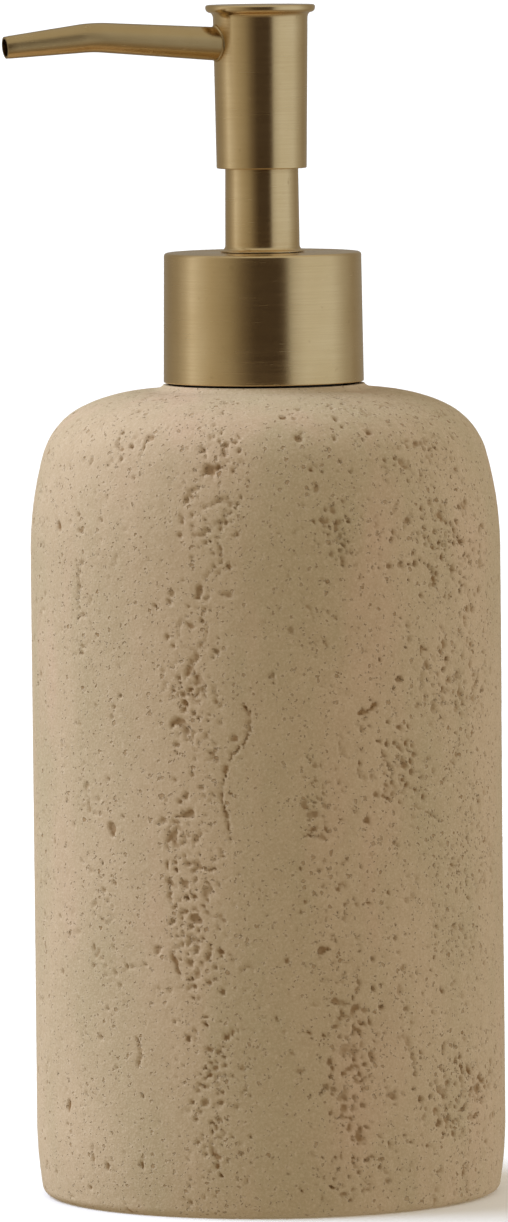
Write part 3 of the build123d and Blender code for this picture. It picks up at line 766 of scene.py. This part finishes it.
# Grooves and cracks, as (half width, then points of degrees from the front and height).
GROOVES = (
    (0.42, (-7, 122.8), (-10.7, 121.8), (-10.7, 120.2)),
    (0.36, (-14.3, 112.4), (-10.8, 113.5), (-7.2, 112.1)),
    (0.36, (-18.2, 88.2), (-19.5, 86.3), (-21.2, 84.6), (-22.2, 82.6)),
    (0.4, (-18, 87.4), (-16.8, 85.4), (-15.6, 83.6)),
    (0.38, (-20.8, 83), (-18.4, 82.5), (-16.4, 83)),
    (0.36, (-15.2, 84.8), (-15, 83.5)),
    (0.36, (-12.7, 84.2), (-12.4, 82.6), (-11.7, 81.2)),
    (0.4, (-20, 66.8), (-21.8, 65.7)),
    (0.38, (-17.8, 56.1), (-14.4, 55.3), (-11.4, 55.1)),
    (0.38, (-14.2, 53.2), (-13.2, 51.2)),
    (0.3, (-24.6, 53.9), (-24.6, 50.2)),
    (0.46, (-23.6, 41.8), (-23, 39.8), (-21.6, 38.2)),
    (0.44, (-20, 38), (-17.4, 38.6), (-16.8, 40.6)),
    (0.36, (-8.6, 30), (-10.2, 28.8)),
    (0.32, (9.2, 60.6), (13.4, 60.4)),
    (0.32, (13.3, 37.6), (17.4, 37.3)),
    (0.38, (16.2, 31.5), (18.8, 31.6), (24.2, 30.5)),
    (0.28, (5, 26.4), (6, 25)),
    (0.28, (23, 72.3), (22.3, 71), (22.7, 69.6)),
    (0.2, (28.6, 72), (30.4, 71.8), (31.6, 70.9)),
    (0.28, (37, 64.6), (42.2, 63.2), (46.2, 61.8)),
    (0.3, (57.5, 111.5), (57.5, 109.3)),
    (0.32, (35.5, 27), (37, 24.4), (37.6, 21.8)),
    (0.2, (-60, 74.4), (-60, 71.8)),
    (0.2, (-60, 109.7), (-60.2, 107.7)),
    (0.28, (-50.4, 103.2), (-52.2, 100.8), (-51.8, 98.9), (-52, 97.4)),
    (0.24, (-33.5, 122.6), (-33.6, 119.5)),
    (0.28, (-33.9, 28), (-33, 26.4), (-33.9, 23.8)),
    (0.24, (-49, 11), (-49.2, 8.8), (-49, 6.7)),
)
# Long unbroken cracks, in the same form.
CRACKS = (
    (0.24, (-6, 81.2), (-4.2, 80.2), (-4.2, 77.6), (-5.4, 75.4), (-8.2, 73.6), (-9.8, 71.4)),
    (0.30, (-9.8, 71.4), (-10.8, 68.8), (-11.3, 66.6), (-10.2, 64.6)),
    (0.22, (-10.2, 64.6), (-9.7, 62), (-8.9, 59.6)),
    (0.24, (-52.6, 103.4), (-51.6, 101), (-52.2, 98.4), (-51.8, 96)),
)
# Rings of small pits, as (degrees from the front, height, radius).
RINGS = ((-6.7, 25.2, 1.1), (-7, 6.5, 0.8), (22, 105.6, 0.9), (46.3, 107.2, 2.0), (50.8, 40.6, 1.6))


def named_marks(skin):
    """The stone's own marks on its front, the same on every run."""
    for angle, height, wide, *other in MAIN_PITS + SECOND_PITS + RIGHT_PITS + LEFT_PITS:
        tall = other[0] if other else wide
        depth = 0.15 + 0.55 * min(wide, tall)
        skin.pit(angle, skin.along(height), wide, tall, skin.rng.normal(0, 15), depth, edge=0.55)
    for half, *points in GROOVES:
        skin.path(points, half, 0.12 + half * 0.8)
    for half, *points in CRACKS:
        skin.path(points, half, 0.2 + half, loose=0.4)
    for angle, height, radius in RINGS:
        skin.ring(angle, skin.along(height), radius, 0.28, 0.3)


def make_stone():
    """The bottle: one closed mesh, its pits pressed into the outer wall."""
    outline, lengths = even_steps(stone_outside(), STONE_STEP)
    shoulder_top = outline[-1, 1]
    skin = StoneSkin(outline, lengths)
    scatter_plain(skin)
    scatter_bands(skin)
    scatter_clusters(skin)
    named_marks(skin)
    waves = skin.random_field(22.0, 18.0) * WAVE_DEPTH
    pores = skin.random_field(0.8, 0.7) * PORE_DEPTH
    land = stone_land(outline[-1, 0], shoulder_top)
    fade = np.clip((outline[:, 1] - STONE_FOOT) / FADE_FOOT, 0, 1)
    fade *= np.clip((outline[:, 0] - outline[-1, 0]) / FADE_TOP, 0, 1)
    sunk = (skin.depth + np.clip(SKIN_SINK + waves + pores, *SINK_LIMITS)) * fade[:, None]
    outline = np.concatenate([outline, land])
    sunk = np.concatenate([sunk, np.zeros((len(land), STONE_AROUND))])
    slope = np.gradient(outline, axis=0)
    slope /= np.hypot(*slope.T)[:, None]
    outward = np.stack([slope[:, 1], -slope[:, 0]], axis=1)
    angles = full_turn(STONE_AROUND)
    radius = outline[:, :1] - sunk * outward[:, :1]
    outer = np.stack(
        [radius * np.cos(angles), radius * np.sin(angles), outline[:, 1:] - sunk * outward[:, 1:]], axis=-1
    )
    vertices = [outer.reshape(-1, 3)]
    rows = len(outline)
    quads = grid_quads(rows, STONE_AROUND, closed=False)[:, ::-1]
    corners = [quads.ravel()]
    sizes = [np.full(len(quads), 4)]
    count = rows * STONE_AROUND
    share = STONE_AROUND // INSIDE_AROUND

    def add_coarse(points, fine_row, downwards):
        """Rings of fewer vertices that start at a fine row, and end in a flat disc."""
        nonlocal count
        made = turned(points, INSIDE_AROUND)
        vertices.append(made)
        base = count
        count += len(made)
        inner = grid_quads(len(points), INSIDE_AROUND, closed=False)
        inner = (inner if downwards else inner[:, ::-1]) + base
        corners.append(inner.ravel())
        sizes.append(np.full(len(inner), 4))
        for i in range(INSIDE_AROUND):
            fine = [fine_row * STONE_AROUND + (i * share + j) % STONE_AROUND for j in range(share + 1)]
            face = fine + [base + (i + 1) % INSIDE_AROUND, base + i]
            corners.append(np.array(face[::-1] if downwards else face))
            sizes.append(np.array([len(face)]))
        last = base + (len(points) - 1) * INSIDE_AROUND + np.arange(INSIDE_AROUND)
        corners.append(last[::-1] if downwards else last)
        sizes.append(np.array([INSIDE_AROUND]))

    add_coarse(stone_inside(shoulder_top), rows - 1, downwards=False)
    add_coarse([(RECESS_RADIUS, PAD_TOP), (RECESS_RADIUS * 0.5, PAD_TOP)], 0, downwards=True)
    mesh = bpy.data.meshes.new("stone_bottle")
    every = np.concatenate(vertices)
    flat = np.concatenate(corners).astype(np.int32)
    made = fill_mesh("stone_bottle", mesh, every, flat, np.concatenate(sizes).astype(np.int32), 60.0)
    for label, values in (("pit", np.clip(skin.depth / STAIN_AND_SHADE_DEPTH, 0, 1)), ("band", crowding(skin))):
        shares = np.zeros(len(every), dtype=np.float32)
        shares[: values.size] = values.ravel()
        mesh.attributes.new(label, "FLOAT", "POINT").data.foreach_set("value", shares)
    return made


# --- metal pieces
COLLAR_HOLE = 5.85
COLLAR_PLATE = 0.6
COLLAR_TAPER = 0.24


def make_collar():
    """The collar's shell: a cup that narrows a little upwards, with a hole for the sleeve."""
    bottom, top = low("collar_shell")[2], high("collar_shell")[2]
    outer = high("collar_shell")[0]
    inner = high("collar_liner")[0]
    under = top - COLLAR_PLATE
    corners = [(inner, bottom, 0.12), (outer, bottom, 0.15), (outer - COLLAR_TAPER, top, 0.5)]
    corners += [(COLLAR_HOLE, top, 0.08), (COLLAR_HOLE, under, 0), (inner, under, 0)]
    return lathe("collar_cover", rounded(corners), 256)


SLEEVE_BORE = 5.52
SLEEVE_RADIUS_FOOT = 5.95
SLEEVE_RADIUS_TOP = 5.8
SLEEVE_FILLET = 0.75


def make_sleeve():
    """The slim sleeve with its flared foot."""
    foot, top = low("neck_sleeve")[2], high("neck_sleeve")[2]
    flare = high("neck_sleeve")[0]
    outline = [(SLEEVE_BORE, top), (SLEEVE_BORE, foot), (flare - 0.06, foot), (flare, foot + 0.05)]
    outline += [(flare, foot + 0.12), (flare - 0.04, foot + 0.18)]
    outline += arc((SLEEVE_RADIUS_FOOT + SLEEVE_FILLET, foot + 1.0), SLEEVE_FILLET, -93, -180, 8)[1:]
    outline += [(SLEEVE_RADIUS_FOOT, foot + 1.2), (SLEEVE_RADIUS_FOOT - 0.01, foot + 2.0)]
    outline += [(SLEEVE_RADIUS_TOP + 0.01, top - 0.3), (SLEEVE_RADIUS_TOP - 0.01, top - 0.1)]
    outline += [(SLEEVE_RADIUS_TOP - 0.1, top)]
    return lathe("sleeve_tube", outline)


HEAD_BORE = 6.65
HEAD_BOTTOM = low("head_shell")[2]
LIP_UNDERSIDE = high("head_shell")[2]
HEAD_TOP = high("head_cap")[2]
LIP_RADIUS = high("head_cap")[0]
HEAD_RADIUS_BOTTOM = 7.2
HEAD_RADIUS_TOP = 7.55
HEAD_EDGE = 0.22
FLARE_RADIUS = high("head_shell")[0]
FLARE_HEIGHT = 0.9
LIP_ROUND_BELOW = 0.75
LIP_ROUND_ABOVE = 0.35


def sweep(name, centres, outer, inner, around=64, rim=0.1):
    """A tube along a centreline in the XZ plane, as one closed mesh, the edges of its mouths softened.

    outer and inner are its radii at each point of the centreline."""
    way = np.gradient(centres, axis=0)
    way /= np.linalg.norm(way, axis=1)[:, None]
    upward = np.stack([-way[:, 2], np.zeros(len(way)), way[:, 0]], axis=1)
    upward *= np.sign(upward[:, 2:])
    between = range(1, len(centres) - 1)
    rings = [(0, inner[0] + rim, 0.0), (0, outer[0] - rim, 0.0), (0, outer[0] - 0.3 * rim, 0.3 * rim)]
    rings += [(i, outer[i], 0.0) for i in between]
    rings += [(-1, outer[-1] - 0.3 * rim, -0.3 * rim), (-1, outer[-1] - rim, 0.0), (-1, inner[-1] + rim, 0.0)]
    rings += [(i, inner[i], 0.0) for i in reversed(between)]
    vertices = []
    for index, radius, shift in rings:
        centre = centres[index] + way[index] * shift
        vertices.append(circle(centre, (0, 1, 0), upward[index], radius, around))
    quads = grid_quads(len(rings), around)
    return mesh_object(name, np.concatenate(vertices), quads[:, [0, 3, 2, 1]])


SPOUT_START = (-3.4, 183.85)
SPOUT_BEND = (-27.9, 185.5)
SPOUT_TIP = (-42.5, 184.05)
SPOUT_BEND_RADIUS = 25.0
SPOUT_RADII = (2.74, 2.38, 2.28, 1.78)  # at the start, both ends of the bend and the tip
SPOUT_WALL = 0.45
STRAIGHT_STEPS = 24  # points along the spout's first straight run
BEND_STEPS = 8
TIP_STEPS = 14


def spout_line():
    """The spout's centreline, and its outer radius at each point of it."""
    start, bend, tip = (Vector(point) for point in (SPOUT_START, SPOUT_BEND, SPOUT_TIP))
    inward = (start - bend).normalized()
    outward = (tip - bend).normalized()
    half = inward.angle(outward) / 2
    reach = SPOUT_BEND_RADIUS / math.tan(half)
    centre = bend + (inward + outward).normalized() * (SPOUT_BEND_RADIUS / math.sin(half))
    first = bend + inward * reach
    last = bend + outward * reach
    points = [start.lerp(first, i / STRAIGHT_STEPS) for i in range(STRAIGHT_STEPS)]
    turn = (first - centre).angle_signed(last - centre)
    for i in range(BEND_STEPS + 1):
        points.append(centre + Matrix.Rotation(-turn * i / BEND_STEPS, 2) @ (first - centre))
    points += [last.lerp(tip, (i + 1) / TIP_STEPS) for i in range(TIP_STEPS)]
    flat = np.array([tuple(point) for point in points])
    along = np.concatenate([[0], np.cumsum(np.hypot(*np.diff(flat, axis=0).T))])
    spots = (0, along[STRAIGHT_STEPS], along[STRAIGHT_STEPS + BEND_STEPS], along[-1])
    centres = np.stack([flat[:, 0], np.zeros(len(flat)), flat[:, 1]], axis=1)
    return centres, np.interp(along, spots, SPOUT_RADII)


def make_spout():
    """The spout, open from the head to its mouth."""
    centres, radii = spout_line()
    return sweep("spout_tube", centres, radii, radii - SPOUT_WALL)


SEAM_RADIUS = 2.66
SEAM_HEIGHT = 184.1
SEAM_DEPTH = 0.06  # how far the bead's centre lies inside the head's wall
BEAD_RADIUS = 0.24
BEAD_SWELL = 0.22  # how much thicker the bead is above the spout


def make_braze():
    """The bead of braze where the spout enters the head."""
    around, steps = 14, 96
    wall = HEAD_RADIUS_TOP - SEAM_DEPTH
    rings = []
    for turn in full_turn(steps):
        y, z = SEAM_RADIUS * math.cos(turn), SEAM_RADIUS * math.sin(turn)
        centre = (-math.sqrt(wall**2 - y**2), y, SEAM_HEIGHT + z)
        thick = BEAD_RADIUS * (1 + 0.18 * math.sin(5 * turn + 1.0) * math.cos(3 * turn))
        thick += BEAD_SWELL * max(0.0, math.sin(turn)) ** 3
        rings.append(circle(centre, (0, math.cos(turn), math.sin(turn)), (-1, 0, 0), thick, around))
    return mesh_object("spout_braze", np.concatenate(rings), grid_quads(steps, around))


def make_head_tube():
    """The head's tapered tube, flared under the lip, with the spout's hole cut through it."""
    wall_foot = LIP_UNDERSIDE - FLARE_HEIGHT
    outline = [(HEAD_BORE, LIP_UNDERSIDE), (HEAD_BORE, HEAD_BOTTOM + 0.2), (HEAD_BORE + 0.06, HEAD_BOTTOM)]
    outline += arc((HEAD_RADIUS_BOTTOM - HEAD_EDGE, HEAD_BOTTOM + HEAD_EDGE), HEAD_EDGE, -90, 0, 6)
    heights = np.linspace(HEAD_BOTTOM + 0.5, wall_foot, 40)
    share = (heights - HEAD_BOTTOM) / (wall_foot - HEAD_BOTTOM)
    radii = HEAD_RADIUS_BOTTOM + (HEAD_RADIUS_TOP - HEAD_RADIUS_BOTTOM) * share
    outline += list(zip(radii, heights))
    for i in range(1, 9):
        turn = math.radians(90) * i / 8
        out = (FLARE_RADIUS - HEAD_RADIUS_TOP) * (1 - math.cos(turn))
        outline.append((HEAD_RADIUS_TOP + out, wall_foot + FLARE_HEIGHT * math.sin(turn)))
    tube = lathe("head_tube", outline)
    centres, radii = spout_line()
    centres, radii = centres[:STRAIGHT_STEPS], radii[:STRAIGHT_STEPS]
    cutter = sweep("spout_hole", centres, radii, radii * 0.02)
    cut = tube.modifiers.new("hole", "BOOLEAN")
    cut.operation = "DIFFERENCE"
    cut.solver = "EXACT"
    cut.object = cutter
    apply_modifiers(tube)
    bpy.data.objects.remove(cutter)
    tube.data.set_sharp_from_angle(angle=math.radians(30))
    return tube


def apply_modifiers(piece):
    """Makes a piece's modified shape its own mesh."""
    view = bpy.context.evaluated_depsgraph_get()
    final = bpy.data.meshes.new_from_object(piece.evaluated_get(view))
    piece.modifiers.clear()
    piece.data = final


def make_head_lid():
    """The lip and top plate of the head: a disc with a rolled edge, on a spigot."""
    spigot = HEAD_BORE - 0.03
    bottom = low("head_cap")[2]
    outline = [(0.5, bottom), (spigot - 0.15, bottom), (spigot, bottom + 0.15), (spigot, LIP_UNDERSIDE)]
    outline += [(LIP_RADIUS - LIP_ROUND_BELOW - 0.1, LIP_UNDERSIDE)]
    below, above = LIP_ROUND_BELOW, LIP_ROUND_ABOVE
    outline += arc((LIP_RADIUS - below, LIP_UNDERSIDE + below), below, -90, 0, 10)
    outline += arc((LIP_RADIUS - above, HEAD_TOP - above), above, 0, 90, 8)
    outline += [(LIP_RADIUS - 0.65, HEAD_TOP), (5.0, HEAD_TOP - 0.02), (0.5, HEAD_TOP - 0.03)]
    return turned_solid("head_lid", outline)


SPRING_WIRE = 0.45  # half its thickness
SPRING_TURNS = 9


def make_spring():
    """The return spring: an open coil with one closed turn at each end."""
    bottom, top = low("return_spring")[2], high("return_spring")[2]
    coil = high("return_spring")[0] - SPRING_WIRE
    steps, around = 40, 12
    count = SPRING_TURNS * steps
    rise = (top - bottom - 6 * SPRING_WIRE) / (SPRING_TURNS - 2)
    rings = []
    height = bottom + SPRING_WIRE
    for i in range(count + 1):
        turn = i / steps
        out = np.array([math.cos(2 * math.pi * turn), math.sin(2 * math.pi * turn), 0])
        rings.append(circle(out * coil + (0, 0, height), out, (0, 0, 1), SPRING_WIRE, around))
        closed = min(turn, SPRING_TURNS - turn) < 1
        height += (2 * SPRING_WIRE if closed else rise) / steps
    ends = [np.arange(around), np.arange(around)[::-1] + count * around]
    quads = grid_quads(count + 1, around, closed=False)
    return mesh_object("spring_coil", np.concatenate(rings), [*quads, *ends], 60.0)


def make_pad():
    """The soft pad under the bottle, its lower edge rounded."""
    bottom, top = low("base_pad")[2], high("base_pad")[2]
    outline = [(0.5, bottom)] + [(r, bottom) for r in np.linspace(3, PAD_RADIUS - 0.8, 16)]
    outline += arc((PAD_RADIUS - PAD_EDGE, bottom + PAD_EDGE), PAD_EDGE, -90, 0, 6)
    outline += [(PAD_RADIUS, top - 0.2), (PAD_RADIUS - 0.1, top), (0.5, top)]
    return turned_solid("foot_pad", outline, 128)


# --- materials on CAD nodes
def paint(material, *nodes):
    """Gives CAD nodes their material."""
    for node in nodes:
        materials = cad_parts[node].data.materials
        materials.clear()
        materials.append(material)


# --- studio
def about(relative, elevation, distance, target):
    """A place round the object: degrees to the right of the camera, degrees up, and how far away."""
    turn = math.radians(FRONT + relative)
    rise = math.radians(elevation)
    step = Vector((math.cos(turn) * math.cos(rise), math.sin(turn) * math.cos(rise), math.sin(rise)))
    return Vector(target) + step * distance


def wide_lamp(name, relative, elevation, spread, strength, tint):
    """A lamp far away and many degrees wide, so it lights the object and the floor evenly."""
    lamp = bpy.data.lights.new(name, "SUN")
    lamp.angle = math.radians(spread)
    lamp.energy = strength
    lamp.color = tint
    holder = bpy.data.objects.new(name, lamp)
    bpy.context.scene.collection.objects.link(holder)
    towards = about(relative, elevation, 1.0, (0, 0, 0))
    holder.rotation_mode = "QUATERNION"
    holder.rotation_quaternion = (-towards).to_track_quat("-Z", "Y")
    holder.visible_glossy = False


# The bright and dark walls that the metal mirrors, as (degrees to the right of the camera, colour).
WALLS = (
    (-180, (0.30, 0.27, 0.22)),
    (-140, (0.28, 0.25, 0.20)),
    (-118, (0.34, 0.31, 0.26)),
    (-103, (0.50, 0.48, 0.44)),
    (-92, (0.72, 0.72, 0.72)),
    (-80, (0.58, 0.57, 0.54)),
    (-64, (0.45, 0.42, 0.355)),
    (-40, (0.30, 0.27, 0.21)),
    (-24, (0.14, 0.115, 0.085)),
    (-10, (0.05, 0.036, 0.026)),
    (20, (0.045, 0.032, 0.024)),
    (27, (0.11, 0.09, 0.07)),
    (33, (0.47, 0.49, 0.51)),
    (50, (0.62, 0.66, 0.70)),
    (88, (0.62, 0.66, 0.70)),
    (108, (0.42, 0.42, 0.40)),
    (130, (0.29, 0.26, 0.21)),
    (180, (0.30, 0.27, 0.22)),
)
CEILING = (0.56, 0.55, 0.51)
GROUND = (0.27, 0.215, 0.145)
EVEN_LIGHT = (1.0, 0.895, 0.715)
EVEN_STRENGTH = 0.63
FLOOR_REACH = 45000.0


def make_world():
    """A pale studio. Glossy surfaces see its walls, everything else an even light."""
    world = bpy.data.worlds.new("studio")
    bpy.context.scene.world = world
    world.use_nodes = True
    world.node_tree.nodes.clear()
    s = Nodes(world.node_tree)
    ray = s.add("TexCoord").outputs["Generated"]
    turn = math.radians(FRONT)
    to_camera = s.vector("DOT_PRODUCT", ray, (math.cos(turn), math.sin(turn), 0.0)).outputs["Value"]
    to_right = s.vector("DOT_PRODUCT", ray, (-math.sin(turn), math.cos(turn), 0.0)).outputs["Value"]
    height = s.vector("DOT_PRODUCT", ray, (0.0, 0.0, 1.0)).outputs["Value"]
    bearing = s.span(s.math("ARCTAN2", to_right, to_camera), -math.pi, math.pi)
    ramp = s.add("ValToRGB", {0: bearing})
    stops = ramp.color_ramp.elements
    stops.remove(stops[-1])
    for i, (degrees, shade) in enumerate(WALLS):
        spot = (degrees + 180) / 360
        stop = stops[0] if i == 0 else stops.new(spot)
        stop.position = spot
        stop.color = (*shade, 1.0)
    seen = s.mix(s.span(height, 0.45, 0.80), ramp.outputs[0], CEILING)
    seen = s.mix(s.span(height, -0.35, -0.75), seen, GROUND)
    mirrored = s.add("Background", {0: seen}).outputs[0]
    even = s.add("Background", {0: EVEN_LIGHT, 1: EVEN_STRENGTH}).outputs[0]
    backdrop = s.add("Background", {0: (1.0, 1.0, 1.0)}).outputs[0]
    rays = s.add("LightPath").outputs
    met = s.add("MixShader", {0: rays["Is Glossy Ray"], 1: even, 2: mirrored}).outputs[0]
    shown = s.add("MixShader", {0: rays["Is Camera Ray"], 1: met, 2: backdrop}).outputs[0]
    s.add("OutputWorld", {0: shown})


def make_floor():
    """A plain pale table top that fades into the backdrop."""
    s = Shader("floor")
    dust = s.noise(s.place(), 40.0, 3.0)
    shade = s.mix(dust, (0.90, 0.895, 0.885), (0.93, 0.925, 0.915))
    material = s.finish(Base_Color=shade, Roughness=0.9, Specular_IOR_Level=0.1)
    corners = [(x * FLOOR_REACH, y * FLOOR_REACH, 0) for x, y in ((-1, -1), (1, -1), (1, 1), (-1, 1))]
    floor = mesh_object("floor", corners, np.array([[0, 1, 2, 3]]))
    floor.data.materials.append(material)
    floor.visible_glossy = False
    floor.visible_diffuse = False
    floor.visible_shadow = False


# Where the camera stands and how it looks, for the photograph's framing.
CAMERA_DISTANCE = 1813.1
CAMERA_HEIGHT = 222.4
CAMERA_PITCH = 4.070
CAMERA_ROLL = 0.576
CAMERA_YAW = 0.0612
CAMERA_LENS = 334.8
SENSOR = 36.0


def make_camera():
    """The camera: a long lens, almost level, turned a hair to the left and tilted a hair."""
    data = bpy.data.cameras.new("camera")
    data.sensor_width = SENSOR
    data.lens = CAMERA_LENS
    data.clip_start = 0.05
    data.clip_end = 200.0
    camera = bpy.data.objects.new("camera", data)
    bpy.context.scene.collection.objects.link(camera)
    camera.location = about(0, 0, CAMERA_DISTANCE * MM, (0, 0, CAMERA_HEIGHT * MM))
    heading = math.radians(FRONT + 90 + CAMERA_YAW)
    level = Matrix.Rotation(heading, 3, "Z") @ Matrix.Rotation(math.radians(90 - CAMERA_PITCH), 3, "X")
    rolled = level @ Matrix.Rotation(math.radians(-CAMERA_ROLL), 3, "Z")
    camera.rotation_mode = "QUATERNION"
    camera.rotation_quaternion = rolled.to_quaternion()
    bpy.context.scene.camera = camera


# --- the scene
make_camera()
make_world()
make_floor()
wide_lamp("key", -97, 40, 50, 3.36, (0.86, 0.98, 1.21))
wide_lamp("fill", 102, 20, 50, 0.95, (0.93, 1.0, 1.10))

turned_brass = brass("brass_turned")
drawn_brass_shaded = brass("brass_drawn_shaded", drawn=True)
settle(make_stone(), "vessel", ["stone_body"], stone())
settle(make_collar(), "collar", ["collar_shell"], turned_brass)
settle(make_sleeve(), "pump", ["neck_sleeve"], turned_brass)
settle(make_head_tube(), "head", ["head_shell"], turned_brass)
settle(make_head_lid(), "head", ["head_cap"], turned_brass)
settle(make_spout(), "head", ["spout"], drawn_brass_shaded)
settle(make_braze(), "head", [], drawn_brass_shaded)
natural = plastic("natural_plastic", (0.86, 0.86, 0.82), (0.80, 0.80, 0.75), 0.36, clear=0.55)
white = plastic("white_plastic", (0.82, 0.82, 0.79), (0.74, 0.74, 0.70), 0.34)
# Black plastic for the neck insert and collar liner; its darkness also stands for the shade in the gap under
# the collar: painted shade.
black_gap_shade = plastic("black_plastic_gap_shade", (0.022, 0.019, 0.017), (0.032, 0.028, 0.025), 0.42)
soft = plastic("seal_plastic", (0.80, 0.80, 0.77), (0.70, 0.70, 0.66), 0.5)
clear = plastic("clear_tube", (0.90, 0.91, 0.89), (0.84, 0.85, 0.82), 0.32, clear=0.40)
gasket_foam = foam("gasket_foam", (0.72, 0.71, 0.67), (0.52, 0.51, 0.47), 2600.0)
paint(natural, "pump_cylinder", "stem_guide")
paint(white, "stem", "piston_seat", "head_core")
paint(black_gap_shade, "neck_insert", "collar_liner")
paint(soft, "piston_seal")
paint(clear, "dip_tube")
paint(gasket_foam, "gasket")
pad_foam = foam("pad_foam", (0.055, 0.05, 0.045), (0.02, 0.018, 0.016), 1500.0)
settle(make_pad(), "vessel", ["base_pad"], pad_foam)
bright_steel = steel("spring_steel")
paint(bright_steel, "inlet_ball", "outlet_ball")
spring = settle(make_spring(), "pump", ["return_spring"], bright_steel)
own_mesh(spring)

bpy.context.scene.view_settings.view_transform = "Standard"
